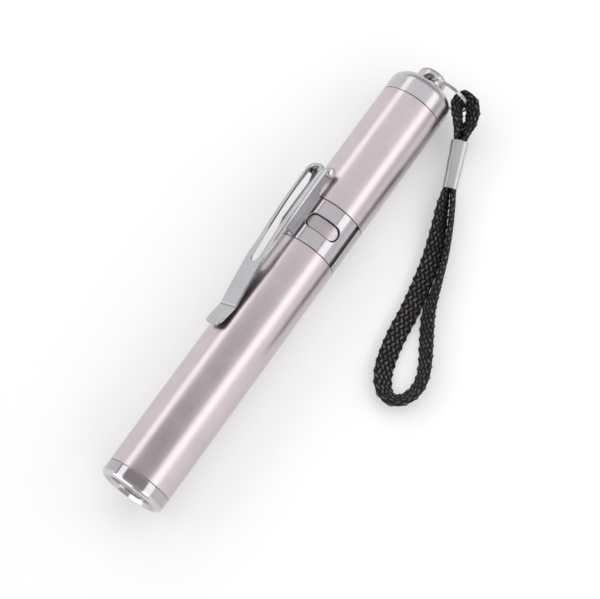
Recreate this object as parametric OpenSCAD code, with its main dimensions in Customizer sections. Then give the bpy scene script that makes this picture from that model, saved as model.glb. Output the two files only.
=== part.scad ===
// Rechargeable penlight with a pull-off tail, a sprung pocket clip and a braided wrist strap.
// It lies on its side with the beam along +X. Stations start at the lens end and grow toward the tail.

/* [Tubes] */
// Outer diameter of both tubes, the bezel, the band and the tail cap
tube_d = 14; // [13.8:0.1:16]
// Wall of both tubes
tube_wall = 0.5; // [0.4:0.05:0.6]
// Radial clearance of pieces that push together
push_gap = 0.05; // [0.03:0.01:0.07]
// Radial clearance of pieces that slide apart by hand
slide_gap = 0.1; // [0.08:0.01:0.14]
// Gap between ends that meet at a seam
seam_gap = 0.12; // [0.08:0.01:0.2]

/* [Lamp end] */
// Length of the bezel that shows
bezel_l = 3.2; // [3:0.1:4.5]
// Radius of the bezel's rounded front edge
bezel_edge_r = 0.6; // [0.3:0.1:0.9]
// Width of the bevel inside the bezel's mouth
bezel_bevel = 0.35; // [0.2:0.05:0.5]
// Width of the lip that holds the lens
lip_w = 0.65; // [0.5:0.05:0.9]
// Depth of the lip that holds the lens
lip_t = 0.9; // [0.7:0.1:1.2]
// Wall of the bezel's spigot inside the tube
bezel_wall = 0.5; // [0.4:0.05:0.6]
// Thickness of the lens
lens_t = 1.1; // [0.8:0.1:1.4]
// Thickness of the gasket behind the lens
gasket_t = 0.6; // [0.4:0.1:0.8]
// Width of the gasket's ring
gasket_w = 0.6; // [0.4:0.1:0.7]
// Depth of the reflector cup
reflector_l = 5.6; // [5:0.1:6.5]
// Wall of the reflector cup
reflector_wall = 0.5; // [0.4:0.05:0.7]
// Diameter of the hole at the back of the reflector
throat_d = 4.2; // [4:0.1:4.6]
// Thickness of the reflector's rim
reflector_rim_t = 0.9; // [0.7:0.1:1.2]
// Thickness of the board that carries the emitter
led_board_t = 1; // [0.8:0.1:1.2]
// Side of the emitter's square base
led_base_w = 2.6; // [2.2:0.1:2.7]
// Thickness of the emitter's base
led_base_t = 0.6; // [0.5:0.1:0.8]
// Diameter of the emitter's dome
led_dome_d = 2.2; // [1.8:0.1:2.2]
// Length of the heat sink
sink_l = 4; // [3.4:0.1:4.4]
// Diameter of the wire hole through the heat sink
sink_bore_d = 2; // [1.6:0.1:2.4]

/* [Cell] */
// Wall of the sleeve round the cell
cell_sleeve_wall = 1.3; // [1.1:0.05:1.5]
// Length of the lithium cell with its button
cell_l = 44; // [36:0.5:60]
// Diameter of the cell's button
cell_button_d = 3.8; // [3.2:0.1:4.4]
// Height of the cell's button
cell_button_h = 0.8; // [0.6:0.1:1.1]
// Radial gap round the cell in its sleeve
cell_gap = 0.15; // [0.1:0.05:0.25]
// Gap between the cell's sleeve and the waist sleeve
cell_sleeve_gap = 2.35; // [1:0.05:4]
// Thickness of the insulating washer
washer_t = 0.6; // [0.4:0.1:0.8]
// Distance of the insulating washer's edge inside the cell's edge
washer_inset = 0.5; // [0.3:0.1:1]
// Diameter of the front contact's foot
contact_foot_d = 4.4; // [3.6:0.1:5]
// Thickness of the front contact's foot
contact_foot_t = 0.5; // [0.4:0.1:0.6]
// Diameter of the front contact's stud
contact_stud_d = 2.2; // [1.8:0.1:2.8]
// Height of the front contact's stud
contact_stud_h = 0.5; // [0.3:0.1:0.6]
// Wire of the spring behind the cell
spring_wire_d = 0.4; // [0.3:0.05:0.45]
// Turns of the spring behind the cell
spring_turns = 2; // [2:1:3]
// Diameter of the spring at the cell
spring_small_d = 4; // [3.6:0.1:5]
// Diameter of the spring at its plate
spring_large_d = 7.6; // [7:0.1:8.4]
// Length of the spring from the cell to its plate
spring_l = 2.3; // [2.2:0.1:2.8]
// Thickness of the plate that carries the spring
spring_plate_t = 0.8; // [0.6:0.1:1]

/* [Waist and plug] */
// Length of the clip band
band_l = 10.1; // [9.8:0.1:12]
// Thickness of the clip band
band_t = 0.8; // [0.6:0.05:0.9]
// Wall of the sleeve at its neck
neck_wall = 0.5; // [0.4:0.05:0.6]
// Length of the sleeve inside the head tube
sleeve_head_l = 9.6; // [8:0.1:10.5]
// Length of the sleeve inside the tail tube
sleeve_tail_l = 6; // [5.4:0.1:7]
// Diameter of the grip ring's section
grip_ring_d = 0.5; // [0.4:0.02:0.52]
// Clearance round the grip ring in its groove
grip_ring_gap = 0.04; // [0.03:0.01:0.06]
// Distance of the grip ring from the end of the sleeve
grip_ring_inset = 2.4; // [1.8:0.1:3]
// Thickness of the charge board
board_t = 1; // [0.8:0.1:1.2]
// Gap between the charge board's edges and the sleeve
board_edge_gap = 0.3; // [0.25:0.05:0.6]
// Length of the charge board
board_l = 10; // [9:0.1:10.2]
// Distance of the charge board behind the band's front edge
board_inset = 2.03; // [1.9:0.01:2.2]
// Depth of the plug's collar inside the sleeve
collar_l = 3.2; // [2.6:0.1:3.4]
// Thickness of the collar's flange over the sleeve's end
collar_flange_t = 0.7; // [0.5:0.1:1]
// Gap between the plug's narrow sides and the tail tube's bore
plug_side_gap = 0.5; // [0.45:0.05:0.8]
// Height of the plug's shell
plug_h = 4.5; // [4.3:0.1:4.6]
// Length of the plug's shell
plug_l = 17.5; // [15:0.1:20]
// Gap between the plug's end and the tail cap
plug_tail_gap = 0.4; // [0.3:0.05:1]
// Wall of the plug's shell
plug_wall = 0.3; // [0.25:0.05:0.35]
// Radius of the corners of the plug's shell
plug_corner_r = 0.6; // [0.5:0.1:0.9]
// Side of the square latch windows in the shell
latch_w = 2.2; // [1.8:0.1:2.4]
// Spacing of the two latch windows
latch_pitch = 4.8; // [4.4:0.1:5.4]
// Distance of the latch windows from the open end
latch_inset = 5; // [4:0.1:6]
// Thickness of the plug's tongue
tongue_t = 1.85; // [1.6:0.05:1.9]
// Distance of the tongue's end from the open end
tongue_inset = 0.5; // [0.3:0.1:1]
// Width of one contact strip
strip_w = 1; // [0.8:0.1:1.2]
// Thickness of one contact strip
strip_t = 0.15; // [0.1:0.05:0.2]
// Length of the outer contact strips
strip_outer_l = 7.4; // [6.4:0.1:8]
// Length of the inner contact strips
strip_inner_l = 6.4; // [5.4:0.1:7]
// Spacing of the inner contact strips
strip_inner_pitch = 2; // [1.8:0.1:2.2]
// Spacing of the outer contact strips
strip_outer_pitch = 7; // [6.4:0.1:7.4]

/* [Button] */
// Angle of the button from the top toward the strap
button_angle = 10; // [0:1:20]
// Angle from the middle of the window in the band to its end, round the barrel
window_angle = 33.6; // [31:0.1:34]
// Width of the window in the band, along the barrel
window_w = 3.35; // [3:0.05:3.6]
// Clearance round the button in the window
button_gap = 0.15; // [0.1:0.05:0.2]
// Depth of the button's face below the band's face
button_recess = 0.45; // [0.3:0.05:0.6]
// Reach of the button's flange past the window, each way
button_flange = 0.6; // [0.5:0.1:0.8]
// Depth of the button's flange inside the sleeve
button_depth = 1.95; // [1.8:0.05:2]
// Travel of the button
button_travel = 0.4; // [0.3:0.05:0.5]
// Width of the switch, round the barrel
switch_w = 4.4; // [4:0.1:5]
// Length of the switch, along the barrel
switch_l = 3.6; // [3.2:0.1:4.4]
// Height of the switch on its board
switch_h = 2; // [1.8:0.1:2.1]
// Height of the stem that shows between the switch and the button
stem_show = 1.15; // [0.9:0.05:1.3]
// Diameter of the switch's stem
switch_stem_d = 2; // [1.6:0.1:2.2]
// Depth of the stem inside the switch
switch_stem_in = 0.6; // [0.5:0.1:0.7]

/* [Clip] */
// Angle of the clip from the top, away from the strap
clip_angle = 45; // [30:1:60]
// Width of the slit where the band's ends meet
slit_w = 0.8; // [0.6:0.1:1.2]
// Angle of the slit from the top toward the strap
slit_angle = 64; // [58:1:80]
// Distance of the clip's hinge from the band's tail edge
hinge_reach = 5; // [4.4:0.1:6]
// Height of the clip's hinge above the tube
hinge_h = 1.25; // [1.2:0.05:1.5]
// Diameter of the hinge pin
hinge_pin_d = 1; // [0.8:0.1:1.1]
// Running clearance of the clip on its pin
hinge_gap = 0.05; // [0.03:0.01:0.08]
// Diameter of the eyes round the hinge pin
hinge_eye_d = 2; // [1.8:0.1:2.1]
// Diameter of the pin's heads
pin_head_d = 1.5; // [1.3:0.1:1.7]
// Thickness of the pin's heads
pin_head_t = 0.2; // [0.15:0.05:0.3]
// Length of the clip from the hinge to the bend that grips
clip_reach = 33.8; // [30:0.2:38]
// Length of the foot past the bend
foot_l = 5.2; // [4:0.1:6]
// Rise of the foot past the bend
foot_rise = 0.75; // [0.4:0.05:1.2]
// Width of the clip at its foot
clip_foot_w = 5.1; // [4.6:0.1:5.4]
// Width of the clip at its hinge
clip_root_w = 6.2; // [6:0.1:7]
// Thickness of the clip's sheet
clip_t = 0.5; // [0.4:0.05:0.6]
// Gap between the clip's bend and the tube
clip_gap = 0.15; // [0.1:0.05:0.3]
// Rise of the clip's back from the bend to the hinge
clip_rise = 2.75; // [2.6:0.05:3.2]
// Depth of the clip's side flanges at the hinge
clip_flange_h = 1.3; // [1:0.1:1.4]
// Length of the clip's side flanges
clip_flange_l = 24; // [18:0.5:27]
// Radius of the corners at the clip's foot
foot_corner_r = 1.4; // [0.8:0.1:2]
// Radius of the corners at the clip's top
top_corner_r = 1.2; // [0.8:0.1:1.6]
// Reach of the clip past the hinge
top_reach = 1; // [0.8:0.1:1.3]
// Length of the slot in the clip
slot_l = 23; // [18:0.5:24]
// Width of the slot at its foot end
slot_foot_w = 1.9; // [1.6:0.1:2.2]
// Width of the slot at its hinge end
slot_root_w = 2.6; // [2:0.1:2.8]
// Distance of the slot from the hinge
slot_inset = 0.8; // [0.6:0.1:1.2]
// Thickness of the bracket's side walls
bracket_t = 0.5; // [0.4:0.05:0.6]
// Side clearance between the bracket and the clip's flanges
bracket_gap = 0.15; // [0.1:0.05:0.2]
// Clearance between the bracket's top edge and the clip's back
bracket_top_gap = 0.35; // [0.25:0.05:0.5]

/* [Tail and ring] */
// Length of the tail cap's straight rim
rim_l = 3.2; // [2.6:0.1:4]
// Height of the tail cap's dome
dome_h = 3.1; // [2.8:0.05:3.4]
// Radius of the dome's flat crown
crown_r = 2.8; // [2.4:0.1:3]
// Length of the tail cap's spigot inside the tube
cap_spigot_l = 4; // [3:0.1:4.2]
// Wall of the tail cap's spigot
cap_spigot_wall = 1; // [0.8:0.1:1.4]
// Diameter of the knob on the tail cap
knob_d = 6.4; // [6:0.1:7]
// Height of the knob above the dome
knob_h = 3; // [2.9:0.05:4]
// Radius of the knob's rounded edge
knob_edge_r = 1; // [0.6:0.1:1.2]
// Diameter of the cross hole in the knob
eyelet_d = 2.8; // [2.7:0.05:2.9]
// Distance of the cross hole's middle in front of the ring
eyelet_shift = 0.4; // [0.2:0.05:0.5]
// Gap between the ring and the dome
ring_dome_gap = 0.15; // [0.1:0.05:0.3]
// Diameter of the ring to the middle of its wire
ring_d = 10; // [9.8:0.1:11]
// Diameter of the ring's wire
ring_wire_d = 0.9; // [0.8:0.05:0.95]

/* [Strap] */
// Width of the flat braid
strap_w = 4.2; // [3.6:0.1:4.4]
// Thickness of the flat braid
strap_t = 1.3; // [1:0.05:1.4]
// Bevel of the braid's edges
strap_bevel = 0.35; // [0.2:0.05:0.4]
// Wall of the crimped ferrule
ferrule_wall = 0.35; // [0.3:0.05:0.45]
// Clearance of the braid inside the ferrule
ferrule_gap = 0.05; // [0.03:0.01:0.1]
// Radius of the ferrule's outer corners
ferrule_corner_r = 0.9; // [0.6:0.1:1]

/* [Hidden] */

// One overrun serves every cut
cut = 1;
round_fn = 64;

// Radii that the tubes set
tube_r = tube_d / 2;
bore_r = tube_r - tube_wall;
spigot_r = bore_r - push_gap;
slide_r = bore_r - slide_gap;

// Lamp end
lens_seat_r = spigot_r - bezel_wall;
mouth_r = lens_seat_r - lip_w;
lens_r = lens_seat_r - slide_gap;
lens_z = lip_t;
gasket_z = lens_z + lens_t;
reflector_z = gasket_z + gasket_t;
led_board_z = reflector_z + reflector_l;
sink_z = led_board_z + led_board_t;
bezel_spigot_l = sink_z - bezel_l - seam_gap;
reflector_mouth_r = lens_r - gasket_w - push_gap;
throat_r = throat_d / 2;
reflector_steps = 14;

// Cell stack
cell_r = spigot_r - cell_sleeve_wall - cell_gap;
washer_z = sink_z + sink_l;
contact_z = washer_z + washer_t;
cell_z = contact_z + contact_foot_t + contact_stud_h;
cell_end_z = cell_z + cell_l;
cell_sleeve_z = contact_z;
plate_z = cell_end_z + spring_l;
board_z = plate_z + spring_plate_t;

// Stations along the barrel: the tubes are as long as the cell and the plug need
head_z = bezel_l;
band_z = board_z - board_inset;
head_tube_l = band_z - seam_gap - head_z;
band_end_z = band_z + band_l;
tail_z = band_end_z + seam_gap;
tail_tube_l = sleeve_tail_l + collar_flange_t + plug_l + plug_tail_gap + cap_spigot_l;
cap_z = tail_z + tail_tube_l;
dome_z = cap_z + rim_l;
crown_z = dome_z + dome_h;
overall_l = crown_z + knob_h;

// Waist
band_in_r = tube_r - band_t;
neck_r = band_in_r - push_gap;
sleeve_bore_r = neck_r - neck_wall;
inner_r = sleeve_bore_r - push_gap;
board_w = (inner_r - board_edge_gap) * 2;
sleeve_z = band_z - seam_gap - sleeve_head_l;
cell_sleeve_l = sleeve_z - cell_sleeve_gap - cell_sleeve_z;
sleeve_end_z = tail_z + sleeve_tail_l;
groove_r = slide_r - grip_ring_d + grip_ring_gap;
groove_w = grip_ring_d + grip_ring_gap + grip_ring_gap;
grip_ring_z = sleeve_end_z - grip_ring_inset;
grip_ring_r = groove_r + grip_ring_gap + grip_ring_d / 2;
window_z = band_z + band_l / 2;

// Plug
plug_w = (bore_r - plug_side_gap) * 2;
collar_z = sleeve_end_z - collar_l;
plug_z = sleeve_end_z + collar_flange_t;
plug_end_z = plug_z + plug_l;
plug_in_w = plug_w - plug_wall - plug_wall;
plug_in_h = plug_h - plug_wall - plug_wall;
latch_z = plug_end_z - latch_inset - latch_w;
tongue_l = plug_l - tongue_inset;
tongue_top = tongue_t - plug_in_h / 2 + push_gap;

// Button
window_l = tube_d * sin(window_angle);
button_floor = inner_r - button_depth;
switch_top = button_floor - stem_show;
board_top = switch_top - switch_h;
board_u = board_top - board_t;
button_l = window_l - button_gap - button_gap;
button_w = window_w - button_gap - button_gap;
button_r = tube_r - button_recess;
stem_z = switch_top - switch_stem_in;
stem_room = button_travel + push_gap;

// Clip
pin_z = band_end_z + hinge_reach;
pin_u = tube_r + hinge_h;
pin_r = hinge_pin_d / 2;
eye_r = hinge_eye_d / 2;
bend_z = pin_z - clip_reach;
foot_z = bend_z - foot_l;
top_z = pin_z + top_reach;
bend_u = tube_r + clip_gap + clip_t;
clip_half_w = clip_root_w / 2;
flange_in = clip_half_w - clip_t;
bracket_out = flange_in - bracket_gap;
bracket_in = bracket_out - bracket_t;
flange_z = pin_z - clip_flange_l;
slot_end_z = pin_z - slot_inset;
slot_z = slot_end_z - slot_l;
// The back of the clip rises fast at the bend and flattens toward the hinge
arch_power = 2.3;
arch_steps = 18;
corner_steps = 6;
// Stations of the clip's plan and bracket as shares of the clip's and the band's lengths
taper_end_share = 0.72;
bracket_start_share = 0.04;
arm_start_share = 0.8;
tab_start_share = 0.12;
bracket_sink_share = 0.25;

// Tail
knob_r = knob_d / 2;
ring_r = ring_d / 2;
wire_r = ring_wire_d / 2;
ring_z = crown_z + ring_dome_gap + wire_r;
eyelet_z = ring_z - eyelet_shift;
ring_chord_h = sqrt(pow(ring_r, 2) - pow(knob_r, 2));
ring_offset = (ring_r + ring_chord_h) / 2;
cap_spigot_z = cap_z - cap_spigot_l;
dome_steps = 12;

// Placing on the surface that the penlight lies on
front_x = overall_l / 2;
axis_h = tube_r;

// Crimped ferrule, from the end near the ring to the end near the hand loop
ferrule_top = [-45.6, 12, 4.4];
ferrule_foot = [-36, 15.8, 3];
strand_step = strap_t / 2 + ferrule_gap / 2;
ferrule_in_w = strap_t + strap_t + ferrule_gap + ferrule_gap + ferrule_gap;
ferrule_in_h = strap_w + ferrule_gap + ferrule_gap;
ferrule_w = ferrule_in_w + ferrule_wall + ferrule_wall;
ferrule_h = ferrule_in_h + ferrule_wall + ferrule_wall;

// Route of the small eye round the ring: place, then the roll of the braid from standing on edge
eye_route = [
    [-48, 9.8, 5.3, 0], [-49.8, 8.2, 6, 0], [-51.5, 7.1, 6.4, 0], [-53.4, 6.9, 6.5, 0],
    [-54.8, 7.8, 6.5, 0], [-55.3, 9.3, 6.5, 0], [-54.7, 10.8, 6.5, 0], [-53.3, 11.6, 6.4, 0],
    [-51.4, 11.7, 6.2, 0], [-49.6, 12, 5.7, 0], [-47.8, 12.3, 5.1, 0]];
// Route of the hand loop on the surface, out along the barrel and back
loop_route = [
    [-33, 16.3, 2.7, 5], [-29, 18, 2.4, 20], [-24, 19.5, 2, 45], [-19, 20.6, 1.5, 68],
    [-14, 21.6, 1.1, 80], [-9, 22.5, 1.1, 80], [-4.5, 23.3, 1.4, 70], [-0.5, 24.4, 1.9, 52],
    [3.2, 25.8, 2.2, 32], [6, 27.8, 2.3, 16], [7.4, 30.2, 2.3, 10], [7, 32.6, 2.3, 10],
    [5, 34.1, 2.3, 10], [2, 34.4, 2.3, 10], [-1.2, 33.4, 2.2, 8], [-4.4, 31.5, 2.2, 5],
    [-7.6, 29.6, 2.2, 0], [-11.2, 27.8, 2.2, 0], [-15, 26.2, 2.2, 0], [-19, 24.6, 2.2, 0],
    [-23, 23, 2.2, 0], [-27, 21.4, 2.3, 0], [-31, 19.6, 2.5, 0], [-33.6, 18.2, 2.7, 0]];

// A solid profile turned about the barrel's axis between two stations
module disc(r, z, l) {
    translate([0, 0, z])
        cylinder(r = r, h = l, $fn = round_fn);
}

// A ring about the barrel's axis between two stations
module ring(r_out, r_in, z, l) {
    difference() {
        disc(r_out, z, l);
        disc(r_in, z - cut, l + cut + cut);
    }
}

// Lays the barrel on the surface: the barrel's x points up and its z points toward the tail
module lay() {
    translate([front_x, 0, axis_h])
        rotate([0, -90, 0])
            children();
}

// Turns a piece round the barrel, from the top toward the strap
module around(angle) {
    rotate([0, 0, angle])
        children();
}

// Stretches a side view, drawn as height and station, across the clip's width
module across(w) {
    rotate([90, 0, 0])
        linear_extrude(height = w, center = true)
            children();
}

// Stretches a plan view, drawn as side and station, outward from the axis
module outward(u, h) {
    translate([u, 0, 0])
        rotate([90, 0, 90])
            linear_extrude(height = h)
                children();
}

// A rectangle with round corners
module round_rect(w, h, r) {
    square([w - r - r, h], center = true);
    square([w, h - r - r], center = true);
    for (i = [-1, 1], j = [-1, 1])
        translate([i * (w / 2 - r), j * (h / 2 - r)])
            circle(r = r, $fn = round_fn);
}

// A long slot with round ends
module stadium(l, w) {
    square([l - w, w], center = true);
    for (i = [-1, 1])
        translate([i * (l - w) / 2, 0])
            circle(d = w, $fn = round_fn);
}

// Lamp end

module bezel() {
    color([0.86, 0.87, 0.89])
        lay()
            difference() {
                union() {
                    rotate_extrude($fn = round_fn) {
                        square([tube_r - bezel_edge_r, bezel_l]);
                        translate([0, bezel_edge_r])
                            square([tube_r, bezel_l - bezel_edge_r]);
                        translate([tube_r - bezel_edge_r, bezel_edge_r])
                            circle(r = bezel_edge_r, $fn = round_fn);
                    }
                    disc(spigot_r, bezel_l - bezel_edge_r, bezel_spigot_l + bezel_edge_r);
                }
                disc(mouth_r, -cut, lip_t + cut + cut);
                disc(lens_seat_r, lip_t, bezel_l + bezel_spigot_l);
                cylinder(r1 = mouth_r + bezel_bevel, r2 = mouth_r, h = bezel_bevel, $fn = round_fn);
            }
}

module lens() {
    color([0.92, 0.95, 0.97, 0.5])
        lay()
            disc(lens_r, lens_z, lens_t);
}

module lens_gasket() {
    color([0.12, 0.12, 0.12])
        lay()
            ring(lens_r, lens_r - gasket_w, gasket_z, gasket_t);
}

// Square of the cup's radius falls evenly from the mouth to the throat, as in a paraboloid
function cup_r(share) = sqrt(pow(reflector_mouth_r, 2) * (1 - share) + pow(throat_r, 2) * share);

module reflector() {
    rim_share = reflector_rim_t / reflector_l;
    cup = [for (i = [0:reflector_steps]) let (share = i / reflector_steps)
        [cup_r(share), share * reflector_l]];
    back = [for (i = [reflector_steps:-1:0]) let (share = i / reflector_steps)
        if (share > rim_share) [cup_r(share) + reflector_wall, share * reflector_l]];
    rim = [[cup_r(rim_share) + reflector_wall, reflector_rim_t], [lens_r, reflector_rim_t], [lens_r, 0]];
    color([0.9, 0.9, 0.92])
        lay()
            translate([0, 0, reflector_z])
                rotate_extrude($fn = round_fn)
                    polygon(concat(cup, back, rim));
}

module led_emitter() {
    color([0.95, 0.88, 0.45])
        lay() {
            translate([-led_base_w / 2, -led_base_w / 2, led_board_z - led_base_t])
                cube([led_base_w, led_base_w, led_base_t]);
            intersection() {
                translate([0, 0, led_board_z - led_base_t])
                    sphere(d = led_dome_d, $fn = round_fn);
                disc(led_dome_d, led_board_z - led_base_t - led_dome_d, led_dome_d + led_base_t / 2);
            }
        }
}

module led_board() {
    color([0.93, 0.93, 0.9])
        lay()
            disc(lens_r, led_board_z, led_board_t);
}

module heat_sink() {
    color([0.75, 0.76, 0.78])
        lay()
            ring(spigot_r, sink_bore_d / 2, sink_z, sink_l);
}

// Cell stack

module contact_washer() {
    color([0.85, 0.8, 0.65])
        lay()
            disc(cell_r - washer_inset, washer_z, washer_t);
}

module front_contact() {
    color([0.8, 0.65, 0.3])
        lay() {
            disc(contact_foot_d / 2, contact_z, contact_foot_t);
            disc(contact_stud_d / 2, contact_z, contact_foot_t + contact_stud_h);
        }
}

module head_tube() {
    color([0.72, 0.68, 0.67])
        lay()
            ring(tube_r, bore_r, head_z, head_tube_l);
}

module battery_cell() {
    color([0.25, 0.4, 0.65])
        lay() {
            disc(cell_button_d / 2, cell_z, cell_l);
            disc(cell_r, cell_z + cell_button_h, cell_l - cell_button_h);
        }
}

module cell_sleeve() {
    color([0.15, 0.15, 0.16])
        lay()
            ring(spigot_r, cell_r + cell_gap, cell_sleeve_z, cell_sleeve_l);
}

// Points of the conical spring: the wire's middle climbs evenly and widens toward its plate
spring_rings = 16;
spring_sides = 6;
function spring_point(i, steps) = let (
        share = i / steps,
        angle = share * spring_turns * 360,
        r = (spring_small_d + (spring_large_d - spring_small_d) * share - spring_wire_d) / 2,
        run = spring_l - spring_wire_d - seam_gap)
    [r * cos(angle), r * sin(angle), cell_end_z + (spring_wire_d + seam_gap) / 2 + run * share];

module cell_spring() {
    steps = spring_turns * spring_rings;
    points = [for (i = [0:steps]) spring_point(i, steps)];
    pitches = [for (i = [0:steps - spring_rings]) norm(points[i + spring_rings] - points[i])];
    section = [for (i = [0:spring_sides - 1]) let (a = 360 * i / spring_sides)
        spring_wire_d / 2 * [cos(a), sin(a)]];
    echo(spring_least_gap = min(pitches) - spring_wire_d);
    color([0.78, 0.79, 0.8])
        lay()
            sweep(points, [for (i = [0:steps]) 0], section);
}

module spring_plate() {
    color([0.2, 0.4, 0.25])
        lay()
            disc(inner_r, plate_z, spring_plate_t);
}

// Waist and plug

// The stadium that the window, the button and its hole share, standing out from the axis
module button_prism(l, w, u, h) {
    around(button_angle)
        translate([u, 0, window_z])
            rotate([90, 0, 90])
                linear_extrude(height = h)
                    stadium(l, w);
}

module waist_sleeve() {
    color([0.74, 0.71, 0.7])
        lay()
            difference() {
                union() {
                    disc(spigot_r, sleeve_z, sleeve_head_l);
                    disc(neck_r, sleeve_z, sleeve_end_z - sleeve_z);
                    disc(slide_r, tail_z, sleeve_tail_l);
                }
                disc(sleeve_bore_r, sleeve_z - cut, sleeve_end_z - sleeve_z + cut + cut);
                ring(bore_r, groove_r, grip_ring_z - groove_w / 2, groove_w);
                button_prism(window_l, window_w, 0, tube_r);
            }
}

module charge_board() {
    color([0.12, 0.35, 0.2])
        lay()
            around(button_angle)
                translate([board_u, -board_w / 2, board_z])
                    cube([board_t, board_w, board_l]);
}

module switch_body() {
    color([0.2, 0.2, 0.22])
        lay()
            around(button_angle)
                difference() {
                    translate([board_top, -switch_w / 2, window_z - switch_l / 2])
                        cube([switch_h, switch_w, switch_l]);
                    translate([stem_z - stem_room, 0, window_z])
                        rotate([0, 90, 0])
                            cylinder(d = switch_stem_d + push_gap + push_gap, h = switch_h, $fn = round_fn);
                }
}

module switch_stem() {
    color([0.1, 0.1, 0.1])
        lay()
            around(button_angle)
                translate([stem_z, 0, window_z])
                    rotate([0, 90, 0])
                        cylinder(d = switch_stem_d, h = button_floor - stem_z, $fn = round_fn);
}

module power_button() {
    flange_w = button_w + button_flange + button_flange;
    color([0.74, 0.7, 0.69])
        lay() {
            intersection() {
                button_prism(button_l, button_w, button_floor, tube_r);
                disc(button_r, window_z - window_l, window_l + window_l);
            }
            intersection() {
                around(button_angle)
                    translate([button_floor, -button_l / 2, window_z - flange_w / 2])
                        cube([tube_r, button_l, flange_w]);
                disc(inner_r - button_gap, window_z - window_l, window_l + window_l);
            }
        }
}

module plug_collar() {
    color([0.1, 0.1, 0.11])
        lay() {
            disc(inner_r, collar_z, collar_l);
            disc(slide_r, sleeve_end_z, collar_flange_t);
        }
}

module plug_shell() {
    color([0.8, 0.81, 0.83])
        lay()
            around(button_angle)
                difference() {
                    translate([0, 0, plug_z])
                        linear_extrude(height = plug_l)
                            round_rect(plug_h, plug_w, plug_corner_r);
                    translate([0, 0, plug_z - cut])
                        linear_extrude(height = plug_l + cut + cut)
                            round_rect(plug_in_h, plug_in_w, plug_corner_r - plug_wall);
                    for (side = [-1, 1])
                        translate([0, (side * latch_pitch - latch_w) / 2, latch_z])
                            cube([plug_h, latch_w, latch_w]);
                }
}

module plug_tongue() {
    color([0.93, 0.93, 0.92])
        lay()
            around(button_angle)
                translate([push_gap - plug_in_h / 2, push_gap - plug_in_w / 2, plug_z])
                    cube([tongue_t, plug_in_w - push_gap - push_gap, tongue_l]);
}

module contact_strip(side, pitch, l) {
    translate([tongue_top, side * pitch / 2 - strip_w / 2, plug_z + tongue_l - tongue_inset - l])
        cube([strip_t, strip_w, l]);
}

module plug_contacts() {
    color([0.85, 0.7, 0.3])
        lay()
            around(button_angle)
                for (side = [-1, 1]) {
                    contact_strip(side, strip_inner_pitch, strip_inner_l);
                    contact_strip(side, strip_outer_pitch, strip_outer_l);
                }
}

module grip_ring() {
    color([0.08, 0.08, 0.08])
        lay()
            translate([0, 0, grip_ring_z])
                rotate_extrude($fn = round_fn)
                    translate([grip_ring_r, 0])
                        circle(d = grip_ring_d, $fn = round_fn);
}

// Clip

// Height of the clip's back above the axis at a station
function back_u(z) = z < bend_z
    ? bend_u + foot_rise * (bend_z - z) / foot_l
    : bend_u + clip_rise * (1 - pow(max(0, 1 - (z - bend_z) / clip_reach), arch_power));

// Half of the clip's width at a station
function plan_w(z) = let (
        share = (z - foot_z) / ((top_z - foot_z) * taper_end_share))
    (clip_foot_w + (clip_root_w - clip_foot_w) * min(1, share)) / 2;

// Quarter turn of a corner, from one heading to the next
function corner(x, z, r, from) = [for (i = [0:corner_steps]) let (a = from + 90 * i / corner_steps)
    [x + r * cos(a), z + r * sin(a)]];

// Side view of the clip's back between two stations, as a band of the given depth
module back_band(from_z, to_z, top, depth_from, depth_to) {
    outer = [for (i = [0:arch_steps]) let (z = from_z + (to_z - from_z) * i / arch_steps)
        [back_u(z) - top, z]];
    inner = [for (i = [arch_steps:-1:0]) let (share = i / arch_steps, z = from_z + (to_z - from_z) * share)
        [back_u(z) - top - depth_from - (depth_to - depth_from) * share, z]];
    polygon(concat(outer, inner));
}

// Plan of the clip with round corners
module clip_plan() {
    w_foot = plan_w(foot_z);
    w_top = plan_w(top_z);
    taper_z = foot_z + (top_z - foot_z) * taper_end_share;
    polygon(concat(
        corner(w_top - top_corner_r, top_z - top_corner_r, top_corner_r, 0),
        corner(top_corner_r - w_top, top_z - top_corner_r, top_corner_r, 90),
        [[-w_top, taper_z]],
        corner(foot_corner_r - w_foot, foot_z + foot_corner_r, foot_corner_r, 180),
        corner(w_foot - foot_corner_r, foot_z + foot_corner_r, foot_corner_r, 270),
        [[w_top, taper_z]]));
}

// Plan of the space between the clip's side flanges
module clip_inside() {
    taper_z = foot_z + (top_z - foot_z) * taper_end_share;
    w_foot = plan_w(foot_z) - clip_t;
    w_top = plan_w(top_z) - clip_t;
    polygon([[-w_foot, foot_z], [w_foot, foot_z], [w_top, taper_z], [w_top, top_z + cut],
        [-w_top, top_z + cut], [-w_top, taper_z]]);
}

// Tapered slot with round ends, in plan
module clip_slot() {
    foot_r = slot_foot_w / 2;
    root_r = slot_root_w / 2;
    translate([0, slot_z + foot_r])
        circle(r = foot_r, $fn = round_fn);
    translate([0, slot_end_z - root_r])
        circle(r = root_r, $fn = round_fn);
    polygon([[-foot_r, slot_z + foot_r], [foot_r, slot_z + foot_r], [root_r, slot_end_z - root_r],
        [-root_r, slot_end_z - root_r]]);
}

// The eye round the hinge pin, drawn in the side view
module hinge_eye() {
    translate([pin_u, pin_z])
        circle(r = eye_r, $fn = round_fn);
}

module hinge_hole(r, w) {
    translate([pin_u, 0, pin_z])
        rotate([90, 0, 0])
            cylinder(r = r, h = w, center = true, $fn = round_fn);
}

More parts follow.
